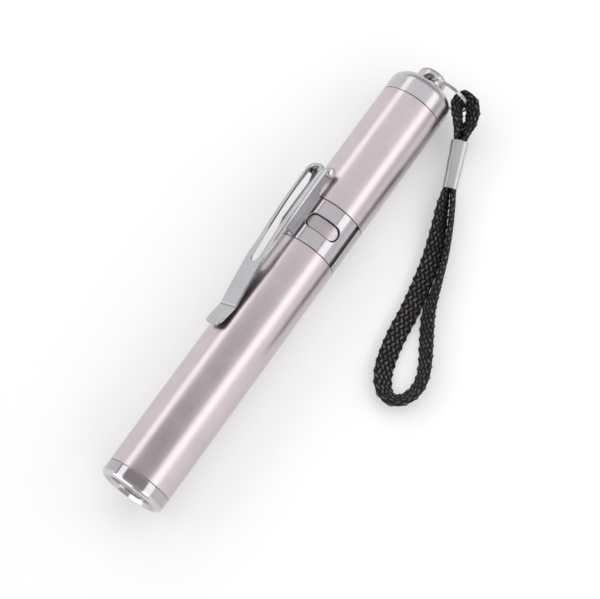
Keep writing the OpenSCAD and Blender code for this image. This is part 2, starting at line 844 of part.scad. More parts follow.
module pocket_clip() {
    tab_z = pin_z - clip_reach * tab_start_share;
    color([0.87, 0.88, 0.9])
        lay()
            around(-clip_angle)
                difference() {
                    union() {
                        intersection() {
                            across(clip_root_w + cut) {
                                back_band(foot_z, bend_z, 0, clip_t, clip_t);
                                back_band(bend_z, top_z, 0, clip_t, clip_t);
                            }
                            outward(0, bend_u + clip_rise + cut)
                                clip_plan();
                        }
                        intersection() {
                            across(clip_root_w + cut) {
                                back_band(flange_z, top_z, clip_t / 2, clip_t / 2, clip_flange_h);
                                polygon([[back_u(tab_z) - clip_t - clip_flange_h / 2, tab_z],
                                    [pin_u - eye_r, pin_z], [pin_u, pin_z + eye_r],
                                    [back_u(top_z) - clip_t, pin_z + eye_r]]);
                                hinge_eye();
                            }
                            outward(0, bend_u + clip_rise + cut)
                                difference() {
                                    clip_plan();
                                    clip_inside();
                                }
                        }
                    }
                    outward(bend_u - clip_t - clip_t, clip_rise + clip_t + clip_t + cut)
                        clip_slot();
                    hinge_hole(pin_r + hinge_gap, clip_root_w + cut);
                }
}

// One side wall of the bracket, drawn in the side view: it stands on the band and reaches back to the pin
module bracket_wall() {
    base_u = sqrt(pow(tube_r, 2) - pow(bracket_out, 2)) - band_t * bracket_sink_share;
    start_z = band_z + band_l * bracket_start_share;
    arm_z = band_z + band_l * arm_start_share;
    top_gap = clip_t + bracket_top_gap;
    arm_u = tube_r + slide_gap + slide_gap;
    polygon([[base_u, start_z], [back_u(start_z) - top_gap, start_z], [back_u(arm_z) - top_gap, arm_z],
        [back_u(band_end_z) - top_gap, band_end_z], [pin_u + eye_r, pin_z], [pin_u - eye_r, pin_z],
        [arm_u, band_end_z], [base_u, band_end_z]]);
    hinge_eye();
}

module clip_band() {
    color([0.88, 0.89, 0.91])
        lay()
            difference() {
                union() {
                    ring(tube_r, band_in_r, band_z, band_l);
                    around(-clip_angle)
                        for (side = [-1, 1])
                            translate([0, side * (bracket_in + bracket_t / 2), 0])
                                across(bracket_t)
                                    bracket_wall();
                }
                button_prism(window_l, window_w, 0, tube_r + cut);
                around(slit_angle)
                    translate([0, -slit_w / 2, band_z - cut])
                        cube([tube_r + cut, slit_w, band_l + cut + cut]);
                around(-clip_angle)
                    hinge_hole(pin_r, clip_root_w);
            }
}

module clip_pin() {
    head_w = clip_root_w / 2 + hinge_gap;
    color([0.8, 0.81, 0.83])
        lay()
            around(-clip_angle) {
                hinge_hole(pin_r, head_w + head_w);
                for (side = [-1, 1])
                    translate([pin_u, side * (head_w + pin_head_t / 2), pin_z])
                        rotate([90, 0, 0])
                            cylinder(d = pin_head_d, h = pin_head_t, center = true, $fn = round_fn);
            }
}

// Tail and ring

module tail_tube() {
    color([0.72, 0.68, 0.67])
        lay()
            ring(tube_r, bore_r, tail_z, tail_tube_l);
}

module tail_cap() {
    dome = [for (i = [0:dome_steps]) let (a = 90 * i / dome_steps)
        [crown_r + (tube_r - crown_r) * cos(a), dome_z + dome_h * sin(a)]];
    color([0.86, 0.87, 0.89])
        lay()
            difference() {
                union() {
                    rotate_extrude($fn = round_fn) {
                        polygon(concat([[0, cap_z], [tube_r, cap_z]], dome, [[0, crown_z]]));
                        translate([0, dome_z])
                            square([knob_r, overall_l - knob_edge_r - dome_z]);
                        translate([0, dome_z])
                            square([knob_r - knob_edge_r, overall_l - dome_z]);
                        translate([knob_r - knob_edge_r, overall_l - knob_edge_r])
                            circle(r = knob_edge_r, $fn = round_fn);
                    }
                    ring(spigot_r, spigot_r - cap_spigot_wall, cap_spigot_z, cap_spigot_l + rim_l / 2);
                }
                translate([0, 0, eyelet_z])
                    rotate([0, 90, 0])
                        cylinder(d = eyelet_d, h = tube_d + cut, center = true, $fn = round_fn);
            }
}

module split_ring() {
    color([0.85, 0.86, 0.88])
        lay()
            translate([0, ring_offset, ring_z])
                rotate_extrude($fn = round_fn)
                    translate([ring_r, 0])
                        circle(r = wire_r, $fn = round_fn);
}

// Strap

// The flat braid's section: its width, then its thickness
function braid_section() = let (w = strap_w / 2, t = strap_t / 2, b = strap_bevel)
    [[w, t - b], [w - b, t], [b - w, t], [-w, t - b], [-w, b - t], [b - w, -t], [w - b, -t], [w, b - t]];

function unit(v) = v / norm(v);

// Heading of a route at one of its points
function heading(points, i) = unit(points[min(i + 1, len(points) - 1)] - points[max(i - 1, 0)]);

// The direction nearest to straight up that is square to a heading
function upright(t) = unit([0, 0, 1] - t[2] * t);

// One section of a sweep, with its width turned from upright by a roll
function station_ring(points, rolls, section, i) = let (
        t = heading(points, i),
        up = upright(t),
        side = cross(t, up),
        wide = cos(rolls[i]) * up + sin(rolls[i]) * side,
        thick = cross(t, wide))
    [for (p = section) points[i] + p[0] * wide + p[1] * thick];

// A closed tube of triangles through the sections along a route
module sweep(points, rolls, section) {
    n = len(section);
    last = len(points) - 1;
    vertices = [for (i = [0:last]) each station_ring(points, rolls, section, i)];
    walls = [for (i = [0:last - 1], k = [0:n - 1]) let (a = i * n + k, b = i * n + (k + 1) % n)
        each [[a, a + n, b], [b, a + n, b + n]]];
    ends = [for (k = [1:n - 2]) each [[0, k, k + 1], [last * n, last * n + k + 1, last * n + k]]];
    polyhedron(points = vertices, faces = concat(walls, ends));
}

// A point on one of the two strands inside the ferrule
function strand(share, side) = let (
        run = ferrule_foot - ferrule_top,
        across = unit([-run[1], run[0], 0]))
    ferrule_top + share * run + side * strand_step * across;

function places(route) = [for (p = route) [p[0], p[1], p[2]]];
function rolls(route) = concat([0, 0], [for (p = route) p[3]], [0, 0]);

// The eye and the loop meet end to end halfway along the ferrule
mid_share = 0.5;
function strand_route(end, route) = concat(
    [strand(mid_share, -1), strand(end, -1)],
    places(route),
    [strand(end, 1), strand(mid_share, 1)]);

module strap_eye() {
    color([0.07, 0.07, 0.08])
        sweep(strand_route(0, eye_route), rolls(eye_route), braid_section());
}

module ferrule() {
    run = ferrule_foot - ferrule_top;
    color([0.82, 0.82, 0.83])
        translate(ferrule_top)
            rotate([0, acos(run[2] / norm(run)), atan2(run[1], run[0])])
                difference() {
                    linear_extrude(height = norm(run))
                        round_rect(ferrule_h, ferrule_w, ferrule_corner_r);
                    translate([0, 0, -cut])
                        linear_extrude(height = norm(run) + cut + cut)
                            square([ferrule_in_h, ferrule_in_w], center = true);
                }
}

module strap_loop() {
    color([0.07, 0.07, 0.08])
        sweep(strand_route(1, loop_route), rolls(loop_route), braid_section());
}

bezel();
lens();
lens_gasket();
reflector();
led_emitter();
led_board();
heat_sink();
contact_washer();
front_contact();
head_tube();
battery_cell();
cell_sleeve();
cell_spring();
spring_plate();
waist_sleeve();
charge_board();
switch_body();
switch_stem();
power_button();
plug_collar();
plug_shell();
plug_tongue();
plug_contacts();
grip_ring();
clip_band();
clip_pin();
pocket_clip();
tail_tube();
tail_cap();
split_ring();
strap_eye();
ferrule();
strap_loop();
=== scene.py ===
# %% [markdown]
# A slim penlight lies on its side with its wrist strap beside it. The solids of the CAD model are the
# frame: they say where each piece sits and how it moves. This lesson dresses them with rounded edges,
# rolled and folded sheet metal, a woven strap and real finishes.
# %% Frame
import math

import bmesh
import bpy
import numpy as np
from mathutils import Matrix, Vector


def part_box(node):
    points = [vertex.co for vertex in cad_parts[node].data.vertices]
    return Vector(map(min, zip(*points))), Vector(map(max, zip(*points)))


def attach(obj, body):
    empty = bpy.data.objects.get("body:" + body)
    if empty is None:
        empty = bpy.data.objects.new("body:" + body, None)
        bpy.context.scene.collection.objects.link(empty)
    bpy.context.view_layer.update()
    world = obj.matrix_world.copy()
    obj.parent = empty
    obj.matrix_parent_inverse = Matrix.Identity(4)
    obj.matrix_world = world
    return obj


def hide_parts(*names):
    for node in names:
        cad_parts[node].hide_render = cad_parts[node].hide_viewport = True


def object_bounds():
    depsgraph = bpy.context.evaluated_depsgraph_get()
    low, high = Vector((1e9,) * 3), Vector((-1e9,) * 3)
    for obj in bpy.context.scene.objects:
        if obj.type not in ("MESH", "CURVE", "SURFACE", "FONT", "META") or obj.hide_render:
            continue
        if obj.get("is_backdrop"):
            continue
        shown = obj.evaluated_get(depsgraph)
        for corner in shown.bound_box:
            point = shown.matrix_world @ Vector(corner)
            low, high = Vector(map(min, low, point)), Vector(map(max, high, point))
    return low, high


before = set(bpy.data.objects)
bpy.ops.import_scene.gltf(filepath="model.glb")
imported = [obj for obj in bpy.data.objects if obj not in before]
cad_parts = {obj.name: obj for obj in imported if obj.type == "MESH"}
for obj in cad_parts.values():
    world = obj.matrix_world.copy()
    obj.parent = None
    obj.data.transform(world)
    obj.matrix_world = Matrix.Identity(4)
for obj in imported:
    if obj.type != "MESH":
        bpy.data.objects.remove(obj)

cad_box = [list(corner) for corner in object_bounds()]
scene = bpy.context.scene
MM = 0.001
print("CAD box in mm", [[round(value / MM, 2) for value in corner] for corner in cad_box])

# %% [markdown]
# The barrel is measured by stations: the distance in millimetres from the lens end along its axis. They
# could be typed in again, but here they are read from the CAD solids, so that every piece below sits
# exactly where its solid does.
# %% Stations of the barrel
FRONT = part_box("bezel")[1].x
AXIS = Vector((FRONT, 0, sum(corner.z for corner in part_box("head_tube")) / 2))
BACKWARD = Vector((-1, 0, 0))
TUBE_R = (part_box("head_tube")[1].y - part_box("head_tube")[0].y) / 2 / MM
SEAM = 0.12


def stations(node):
    low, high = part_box(node)
    return (FRONT - high.x) / MM, (FRONT - low.x) / MM


def at(station, outward, side, angle):
    """A point by its station, its height from the axis and its offset sideways, turned from the top."""
    turn = math.radians(angle)
    rise = outward * math.cos(turn) - side * math.sin(turn)
    across = outward * math.sin(turn) + side * math.cos(turn)
    return Vector((FRONT - station * MM, across * MM, AXIS.z + rise * MM))


HEAD, TAIL, CAP = stations("head_tube"), stations("tail_tube"), stations("tail_cap")
BAND = (HEAD[1] + SEAM, TAIL[0] - SEAM)
print("head tube", HEAD, "band", BAND, "tail tube", TAIL, "cap", CAP)

# %% [markdown]
# The photo looks down steeply on the penlight. A camera could be placed by eye, but its place and focal
# length here come from fitting the barrel's edges and rings, so that the render can be laid over the photo.
# %% Camera
AZIMUTH, ELEVATION = math.radians(124.563), math.radians(71.445)
CAMERA_BACK, CAMERA_RIGHT, CAMERA_UP = 421.93, 2.886, -2.058
CAMERA_AIM = Vector((0.395, -0.2, 0))
FOCAL_LENGTH, SENSOR_W, NEAREST = 123.774, 36, 0.01
back = Vector((math.sin(AZIMUTH) * math.cos(ELEVATION), -math.cos(AZIMUTH) * math.cos(ELEVATION),
               math.sin(ELEVATION)))
right = Vector((math.cos(AZIMUTH), math.sin(AZIMUTH), 0))
up = back.cross(right)
camera_data = bpy.data.cameras.new("camera")
camera_data.lens, camera_data.sensor_width, camera_data.clip_start = FOCAL_LENGTH, SENSOR_W, NEAREST
camera = bpy.data.objects.new("camera", camera_data)
camera.location = (back * CAMERA_BACK + right * CAMERA_RIGHT + up * CAMERA_UP + CAMERA_AIM) * MM
camera.rotation_euler = (-back).to_track_quat("-Z", "Y").to_euler()
scene.collection.objects.link(camera)
scene.camera = camera
print("camera stands at", [round(value, 4) for value in camera.location])

# %% [markdown]
# Finishes and repeated forms are both made of nodes. They could be wired by hand, with one call for each
# node and each link. One small class wraps a socket instead, so that sums of sockets read as plain
# arithmetic, also with a plain number on either side, and one method makes every other kind of node.
# %% Node arithmetic
MIX_SOCKETS, MIX_RESULT = (0, 6, 7), 2


class Wire:
    """One socket of a node tree."""

    def __init__(self, tree, socket=None):
        self.tree, self.socket = tree, socket

    def node(self, kind, settings=None, sockets=None, out=0):
        made_node = self.tree.nodes.new(kind)
        for name, value in (settings or {}).items():
            setattr(made_node, name, value)
        for key, value in (sockets or {}).items():
            if isinstance(value, Wire):
                self.tree.links.new(value.socket, made_node.inputs[key])
            else:
                made_node.inputs[key].default_value = value
        return Wire(self.tree, made_node.outputs[out] if made_node.outputs else None)

    def of(self, out):
        return Wire(self.tree, self.socket.node.outputs[out])

    def math(self, operation, *values):
        return self.node("ShaderNodeMath", {"operation": operation}, dict(enumerate(values)))

    def __add__(self, other):
        return self.math("ADD", self, other)

    def __radd__(self, other):
        return self.math("ADD", other, self)

    def __sub__(self, other):
        return self.math("SUBTRACT", self, other)

    def __rsub__(self, other):
        return self.math("SUBTRACT", other, self)

    def __mul__(self, other):
        return self.math("MULTIPLY", self, other)

    def __rmul__(self, other):
        return self.math("MULTIPLY", other, self)

    def __truediv__(self, other):
        return self.math("DIVIDE", self, other)

    def __rtruediv__(self, other):
        return self.math("DIVIDE", other, self)

    def scaled(self, amount):
        return self.node("ShaderNodeVectorMath", {"operation": "SCALE"}, {0: self, "Scale": amount})

    def plus(self, other):
        return self.node("ShaderNodeVectorMath", {"operation": "ADD"}, {0: self, 1: other})

    def mix(self, first, second):
        """Two colours mixed by this value."""
        colours = dict(zip(MIX_SOCKETS, (self, first, second)))
        return self.node("ShaderNodeMix", {"data_type": "RGBA"}, colours, MIX_RESULT)

    def noise(self, spot, scale, detail=3.0, roughness=0.55):
        sockets = {"Vector": spot, "Scale": scale, "Detail": detail, "Roughness": roughness}
        return self.node("ShaderNodeTexNoise", {}, sockets, "Fac")

    def stretched(self, spot, amounts):
        return self.node("ShaderNodeMapping", {}, {"Vector": spot, "Scale": amounts})

    def eased(self, low, high):
        return self.node("ShaderNodeMapRange", {"interpolation_type": "SMOOTHSTEP"},
                         {"Value": self, "From Min": low, "From Max": high})


print("a wire knows", [name for name in vars(Wire) if not name.startswith("__")])

# %% [markdown]
# Every material starts in the same way: a surface shader and a set of coordinates. World coordinates would
# let the marks slide over a piece when it moves, so the object's own are used. A helper hands both over,
# with a short way to set the shader's sockets.
# %% Start of a material
def shade(*values):
    return (*values, 1.0)


def painted(name):
    """A new material: its node arithmetic, its coordinates on the object and a way to set its surface."""
    material = bpy.data.materials.new(name)
    material.use_nodes = True
    wires = Wire(material.node_tree)
    surface = material.node_tree.nodes["Principled BSDF"]

    def lay_on(**sockets):
        for key, value in sockets.items():
            socket = surface.inputs[key.replace("_", " ")]
            if isinstance(value, Wire):
                wires.tree.links.new(value.socket, socket)
            else:
                socket.default_value = value
        return material

    return wires, wires.node("ShaderNodeTexCoord", out="Object"), lay_on


print("materials in the CAD frame:", len(bpy.data.materials))

# %% [markdown]
# Most metal here shares one recipe. A picture of scratches would blur close up, so the marks are nodes:
# fine lines from the polishing belt change the roughness and lift the surface a little, and wide soft
# smudges keep large faces from looking computed. The tone can also change along the barrel for painted
# light: a painted highlight on the bezel's lip, and a painted highlight line and a painted shade line at the
# clip's fold.
# %% Metal recipe
ALONG_BARREL, ALL_WAYS, UPRIGHT = (40, 9000, 9000), (900, 900, 900), (60, 60, 5000)
ACROSS_BUTTON, ROUND_CRIMP, ROUND_SLEEVE = (2500, 300, 2500), (700, 700, 2400), (9000, 600, 600)
LINE_DETAIL, LINE_ROUGHNESS, LINE_DEEP = 5.0, 0.6, 0.02 * MM
SMUDGE_SCALE, SMUDGE_FROM, SMUDGE_TO = 150, 0.3, 0.7
LINE_SHARE = 0.6


def metal(name, dark, light, smooth, rough, grain, lift, painted_light_bands=()):
    """A metal between two tones and two roughnesses; painted_light_bands gives stations, their ease and the
    painted highlight and painted shade tones ahead.
    """
    wires, spot, lay_on = painted(name)
    lines = wires.noise(wires.stretched(spot, grain), 1.0, LINE_DETAIL, LINE_ROUGHNESS)
    smudge = wires.noise(spot, SMUDGE_SCALE).eased(SMUDGE_FROM, SMUDGE_TO)
    blend = lines * LINE_SHARE + smudge * (1 - LINE_SHARE)
    bump = wires.node("ShaderNodeBump", {}, {"Strength": lift, "Distance": LINE_DEEP, "Height": lines})
    plain = tone = blend.mix(shade(*dark), shade(*light))
    # Each band paints a highlight or a shade into the tone from its station forward.
    for station, ease, colour in painted_light_bands:
        forward = wires.node("ShaderNodeSeparateXYZ", {}, {0: spot}, "X")
        begun = forward.eased(FRONT - (station + ease) * MM, FRONT - (station - ease) * MM)
        tone = begun.mix(tone, shade(*colour) if colour else plain)
    return lay_on(Base_Color=tone, Metallic=1.0, Roughness=smooth + blend * (rough - smooth), Normal=bump)


print("polishing lines lift the surface by", LINE_DEEP / MM, "mm at most")

# %% [markdown]
# The outside is steel and chrome. Each finish has a dark and a light tone, its least and greatest
# roughness, the way its lines run and how far they lift. They stand side by side here, because the eye
# judges one metal by the next: the brushed tubes are warm, the clip is cooler, and the bracket is dull, with
# tones painted much darker than the band's as painted shade under the clip's arch.
# %% Metal finishes outside
# Painted highlight: the bezel's lip is painted lighter toward the front.
PAINTED_LIP_HIGHLIGHT = [(0.9, 0.3, (0.60, 0.58, 0.60))]
# Painted light at the clip's fold: a painted highlight line, a painted shade line, then the plain tone again.
FOLD_PAINTED_HIGHLIGHT_AND_SHADE = [(41.45, 0.15, (0.60, 0.60, 0.62)), (41.1, 0.15, (0.27, 0.27, 0.28)), (40.75, 0.15, None)]
BRUSHED = metal("brushed_steel", (0.53, 0.475, 0.487), (0.62, 0.56, 0.572), 0.25, 0.35, ALONG_BARREL, 0.2)
CHROME = metal("chrome", (0.41, 0.39, 0.41), (0.49, 0.47, 0.49), 0.11, 0.19, ALL_WAYS, 0.02)
BEZEL_CHROME = metal("bezel_chrome", (0.40, 0.38, 0.40), (0.48, 0.46, 0.48), 0.09, 0.16, ALL_WAYS, 0.02,
                     PAINTED_LIP_HIGHLIGHT)
SATIN = metal("satin_chrome", (0.47, 0.45, 0.47), (0.56, 0.54, 0.56), 0.22, 0.32, ALL_WAYS, 0.02)
# Painted shade: the bracket's tones are much darker than the band's chrome, for the shade under the clip.
SHADED_BRACKET_STEEL = metal("shaded_bracket_steel", (0.23, 0.22, 0.23), (0.35, 0.34, 0.36), 0.22, 0.34, UPRIGHT, 0.2)
CLIP_STEEL = metal("clip_steel", (0.43, 0.43, 0.45), (0.52, 0.52, 0.54), 0.14, 0.24, ALL_WAYS, 0.03,
                   FOLD_PAINTED_HIGHLIGHT_AND_SHADE)
PAD_STEEL = metal("button_steel", (0.37, 0.33, 0.34), (0.52, 0.48, 0.49), 0.24, 0.36, ACROSS_BUTTON, 0.3)
WIRE_STEEL = metal("ring_wire", (0.49, 0.48, 0.49), (0.61, 0.60, 0.61), 0.12, 0.22, ALL_WAYS, 0.05)
CRIMP_METAL = metal("crimp_metal", (0.50, 0.50, 0.51), (0.60, 0.60, 0.61), 0.28, 0.42, ROUND_CRIMP, 0.3)
print("metal outside:", BRUSHED.name, "to", CRIMP_METAL.name)

# %% [markdown]
# The works inside use the same recipe: a bright reflector, brass contacts, a spring, a dull heat sink, the
# sleeve that the tail slides on and the plug's shell. They could share one grey, but the reflector shows
# through the lens, the sleeve and the plug show when the tail is pulled off, and each should look like what
# it is made of. The sleeve is also darker than the tubes, as painted shade in the band's narrow slit where it
# shows.
# %% Metal finishes inside
SPRING_STEEL = metal("spring_steel", (0.55, 0.55, 0.57), (0.72, 0.72, 0.74), 0.18, 0.3, ALL_WAYS, 0.1)
SINK_METAL = metal("sink_metal", (0.58, 0.58, 0.60), (0.74, 0.74, 0.76), 0.3, 0.45, ALL_WAYS, 0.2)
# Painted shade: the sleeve's tones are darker than the tubes', so the band's slit reads dark.
SLEEVE_METAL_AND_SHADE = metal("sleeve_metal", (0.30, 0.30, 0.32), (0.44, 0.44, 0.46), 0.3, 0.42, ROUND_SLEEVE, 0.2)
BRASS = metal("contact_brass", (0.70, 0.52, 0.24), (0.88, 0.70, 0.36), 0.2, 0.34, ALL_WAYS, 0.1)
PLUG_METAL = metal("plug_metal", (0.66, 0.66, 0.68), (0.80, 0.80, 0.82), 0.2, 0.3, ALONG_BARREL, 0.15)
MIRROR = metal("reflector_bright", (0.82, 0.82, 0.83), (0.90, 0.90, 0.91), 0.04, 0.1, ALL_WAYS, 0.04)
print("metal inside:", SPRING_STEEL.name, "to", MIRROR.name)

# %% [markdown]
# Plastic, rubber and resin share a second recipe. One flat colour would look like a drawing, so the colour
# and the gloss wander a little with a fine mottle, and a light grain breaks the surface. The clear lens is
# made by itself, because light goes through it.
# %% Other finishes
MOTTLE_SCALE, MOTTLE_DETAIL = 700, 4.0
GRAIN_SCALE, GRAIN_LIFT, GRAIN_DEEP = 8 * MOTTLE_SCALE, 0.15, 0.03 * MM
HAZE, HAZE_FROM, HAZE_TO, LENS_IOR = 0.04, 0.55, 0.9, 1.49


def moulded(name, dark, light, smooth, rough):
    wires, spot, lay_on = painted(name)
    mottle = wires.noise(spot, MOTTLE_SCALE, MOTTLE_DETAIL)
    grain = wires.noise(spot, GRAIN_SCALE)
    bump = wires.node("ShaderNodeBump", {}, {"Strength": GRAIN_LIFT, "Distance": GRAIN_DEEP, "Height": grain})
    return lay_on(Base_Color=mottle.mix(shade(*dark), shade(*light)),
                  Roughness=smooth + mottle * (rough - smooth), Normal=bump)


RUBBER = moulded("rubber", (0.015, 0.015, 0.016), (0.04, 0.04, 0.042), 0.5, 0.75)
DARK_PLASTIC = moulded("dark_plastic", (0.02, 0.02, 0.022), (0.05, 0.05, 0.055), 0.35, 0.5)
INSULATOR = moulded("insulator", (0.55, 0.52, 0.44), (0.68, 0.65, 0.56), 0.4, 0.6)
CELL_WRAP = moulded("cell_wrap", (0.03, 0.10, 0.26), (0.05, 0.16, 0.36), 0.25, 0.4)
BOARD_GREEN = moulded("board_green", (0.01, 0.10, 0.04), (0.03, 0.18, 0.08), 0.25, 0.45)
BOARD_WHITE = moulded("board_white", (0.62, 0.62, 0.60), (0.78, 0.78, 0.76), 0.3, 0.5)
TONGUE = moulded("tongue_plastic", (0.70, 0.70, 0.70), (0.84, 0.84, 0.84), 0.35, 0.5)
PHOSPHOR = moulded("phosphor", (0.80, 0.62, 0.16), (0.92, 0.78, 0.30), 0.2, 0.35)

wires, spot, lay_on = painted("clear_lens")
LENS = lay_on(Base_Color=wires.noise(spot, SMUDGE_SCALE).mix(shade(0.95, 0.97, 0.97), shade(1, 1, 1)),
              Roughness=wires.noise(spot, SMUDGE_SCALE * 2).eased(HAZE_FROM, HAZE_TO) * HAZE,
              Transmission_Weight=1.0, IOR=LENS_IOR)
print("other finishes:", RUBBER.name, "to", LENS.name)

# %% [markdown]
# Real edges are never sharp, so every outline has a radius at each corner. A Bevel modifier could round a
# finished mesh, but a radius in the outline has exactly the size it is given. A close second point beside
# each arc keeps the long faces flat when light is smoothed over them.
# %% Rounded outlines
ARC_STEPS, SUPPORT, SUPPORT_SHARE = 5, 0.05, 0.3


def rounded(corners, closed=True):
    """An outline through corners given as (a, b, radius)."""
    line, count = [], len(corners)
    for i, (a, b, radius) in enumerate(corners):
        here = np.array((a, b), float)
        if radius == 0 or (not closed and i in (0, count - 1)):
            line.append(tuple(here))
            continue
        before = np.array(corners[i - 1][:2]) - here
        after = np.array(corners[(i + 1) % count][:2]) - here
        long_before, long_after = np.linalg.norm(before), np.linalg.norm(after)
        before, after = before / long_before, after / long_after
        half = math.acos(float(np.clip(before @ after, -1, 1))) / 2
        reach = radius / math.tan(half)
        middle = here + (before + after) / np.linalg.norm(before + after) * radius / math.sin(half)
        first, last = here + before * reach - middle, here + after * reach - middle
        sweep = math.copysign(math.pi - 2 * half, first[0] * last[1] - first[1] * last[0])
        line.append(tuple(here + before * (reach + min(SUPPORT, SUPPORT_SHARE * abs(long_before - reach)))))
        for step in range(ARC_STEPS + 1):
            c, s = math.cos(sweep * step / ARC_STEPS), math.sin(sweep * step / ARC_STEPS)
            line.append((middle[0] + c * first[0] - s * first[1], middle[1] + s * first[0] + c * first[1]))
        line.append(tuple(here + after * (reach + min(SUPPORT, SUPPORT_SHARE * abs(long_after - reach)))))
    return line


def arc(middle, radius, start, end, count):
    """Points on a round stretch, by angles in radians from the first coordinate toward the second."""
    a, b = middle
    return [(a + radius * math.cos(t), b + radius * math.sin(t)) for t in np.linspace(start, end, count)]


print("a rounded corner takes", ARC_STEPS + 3, "points")

# %% [markdown]
# A turned part is a profile swept round an axis, as on a lathe. The Screw modifier could do the sweep, but
# mesh code also closes the poles. Every piece ends in the same way: doubles merged, faces outward, a
# finish, a body to ride on and the CAD solids that it stands for.
# %% Turned and finished pieces
CREASE, SIDES = 38, 160
MERGE, ON_AXIS = 1e-7, 1e-6


def made(name, shape):
    """An object from a bmesh, with doubles merged, faces outward and smooth shading up to a crease angle."""
    bmesh.ops.remove_doubles(shape, verts=shape.verts, dist=MERGE)
    bmesh.ops.recalc_face_normals(shape, faces=shape.faces)
    mesh = bpy.data.meshes.new(name)
    shape.to_mesh(mesh)
    shape.free()
    mesh.shade_smooth()
    mesh.set_sharp_from_angle(angle=math.radians(CREASE))
    piece = bpy.data.objects.new(name, mesh)
    scene.collection.objects.link(piece)
    return piece


def skinned(shape, rings, closed):
    """Faces from each ring of points to the next; a ring of one point is a pole."""
    count = max(len(ring) for ring in rings)
    for near, far in zip(rings, rings[1:] + rings[:1] if closed else rings[1:]):
        for i in range(count):
            j = (i + 1) % count
            loop = [near[i % len(near)], near[j % len(near)], far[j % len(far)], far[i % len(far)]]
            shape.faces.new(list(dict.fromkeys(loop)))
    return shape


def turned(name, profile, closed, origin=AXIS, axis=BACKWARD, sides=SIDES):
    """A piece turned on a lathe from a profile of (station, radius) points in millimetres."""
    shape = bmesh.new()
    first = axis.orthogonal().normalized()
    second = axis.cross(first)
    turns = [math.tau * i / sides for i in range(sides)]
    rings = []
    for station, radius in profile:
        middle = origin + axis * station * MM
        rings.append([shape.verts.new(middle)] if radius < ON_AXIS else
                     [shape.verts.new(middle + (first * math.cos(t) + second * math.sin(t)) * radius * MM)
                      for t in turns])
    return made(name, skinned(shape, rings, closed))


def evaluated(piece):
    return bpy.data.meshes.new_from_object(piece.evaluated_get(bpy.context.evaluated_depsgraph_get()))


def fitted(piece, body, material, slot, *nodes):
    """Finishes a piece: its material, the body it rides on, and the CAD solids it stands for."""
    piece.data.materials.clear()
    piece.data.materials.append(material)
    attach(piece, body)
    if nodes:
        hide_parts(*nodes)
    print(piece.name, "has", len(piece.data.polygons), "faces")
    return piece


print("a turned part has", SIDES, "sides")

# %% [markdown]
# Sheet metal is cut flat and then bent, and it is made here in the same order. A filled curve gives the
# blank with its holes and round edges, planes cut it where it will bend, and a rule moves each point to
# its place. A box could be pushed into shape, but this way holes and edges stay as they were stamped.
# %% Sheet metal
EDGE_STEPS, BLANK_MERGE = 2, 1e-5


def sheet(loops, thick, edge, long_cuts=(), cross_cuts=()):
    """A flat blank of sheet metal in millimetres: an outline with holes, round edges, cut for bending."""
    curve = bpy.data.curves.new("blank", "CURVE")
    curve.dimensions, curve.fill_mode = "2D", "BOTH"
    curve.extrude, curve.bevel_depth, curve.bevel_resolution = thick / 2 - edge, edge, EDGE_STEPS
    curve.offset = -edge
    for loop in loops:
        spline = curve.splines.new("POLY")
        spline.points.add(len(loop) - 1)
        for point, (a, b) in zip(spline.points, loop):
            point.co = (a, b, 0, 1)
        spline.use_cyclic_u = True
    flat = bpy.data.objects.new("blank", curve)
    scene.collection.objects.link(flat)
    mesh = evaluated(flat)
    bpy.data.objects.remove(flat)
    shape = bmesh.new()
    shape.from_mesh(mesh)
    bmesh.ops.remove_doubles(shape, verts=shape.verts, dist=BLANK_MERGE)
    for direction, cuts in (((1, 0, 0), long_cuts), ((0, 1, 0), cross_cuts)):
        for cut in cuts:
            bmesh.ops.bisect_plane(shape, geom=shape.verts[:] + shape.edges[:] + shape.faces[:],
                                   plane_co=[value * cut for value in direction], plane_no=direction)
    return shape


def bent(shape, place):
    for vertex in shape.verts:
        vertex.co = place(*vertex.co)
    return shape


def joined(*shapes):
    whole = bmesh.new()
    for shape in shapes:
        part = bpy.data.meshes.new("part")
        shape.to_mesh(part)
        shape.free()
        whole.from_mesh(part)
    return whole


print("a sheet's round edge has", EDGE_STEPS, "steps each way")

# %% [markdown]
# Chrome shows every small error of shading. A much finer mesh would hide them, but it would be heavy.
# Weighted normals keep a large face true beside its round edge instead, and where the true direction of a
# surface is known, as on a rolled band, it is written in outright.
# %% Even shading
NEARLY_ALIGNED = 0.99


def even(piece, true_way=None):
    """Large faces keep their own shading beside small round edges; true_way gives the direction they face."""
    piece.modifiers.new("even", "WEIGHTED_NORMAL").keep_sharp = True
    mesh = evaluated(piece)
    piece.modifiers.clear()
    piece.data = mesh
    if true_way:
        normals = [Vector(corner.vector) for corner in mesh.corner_normals]
        for face in mesh.polygons:
            facing = face.normal.dot(true_way(face.center))
            if abs(facing) > NEARLY_ALIGNED:
                for corner in face.loop_indices:
                    spot = mesh.vertices[mesh.loops[corner].vertex_index].co
                    normals[corner] = true_way(spot) * math.copysign(1, facing)
        mesh.normals_split_custom_set(normals)
    return piece


def from_axis(spot):
    """The direction away from the barrel's axis."""
    return Vector((0, spot.y, spot.z - AXIS.z)).normalized()


print("faces within", round(math.degrees(math.acos(NEARLY_ALIGNED))), "degrees of the true way are set to it")

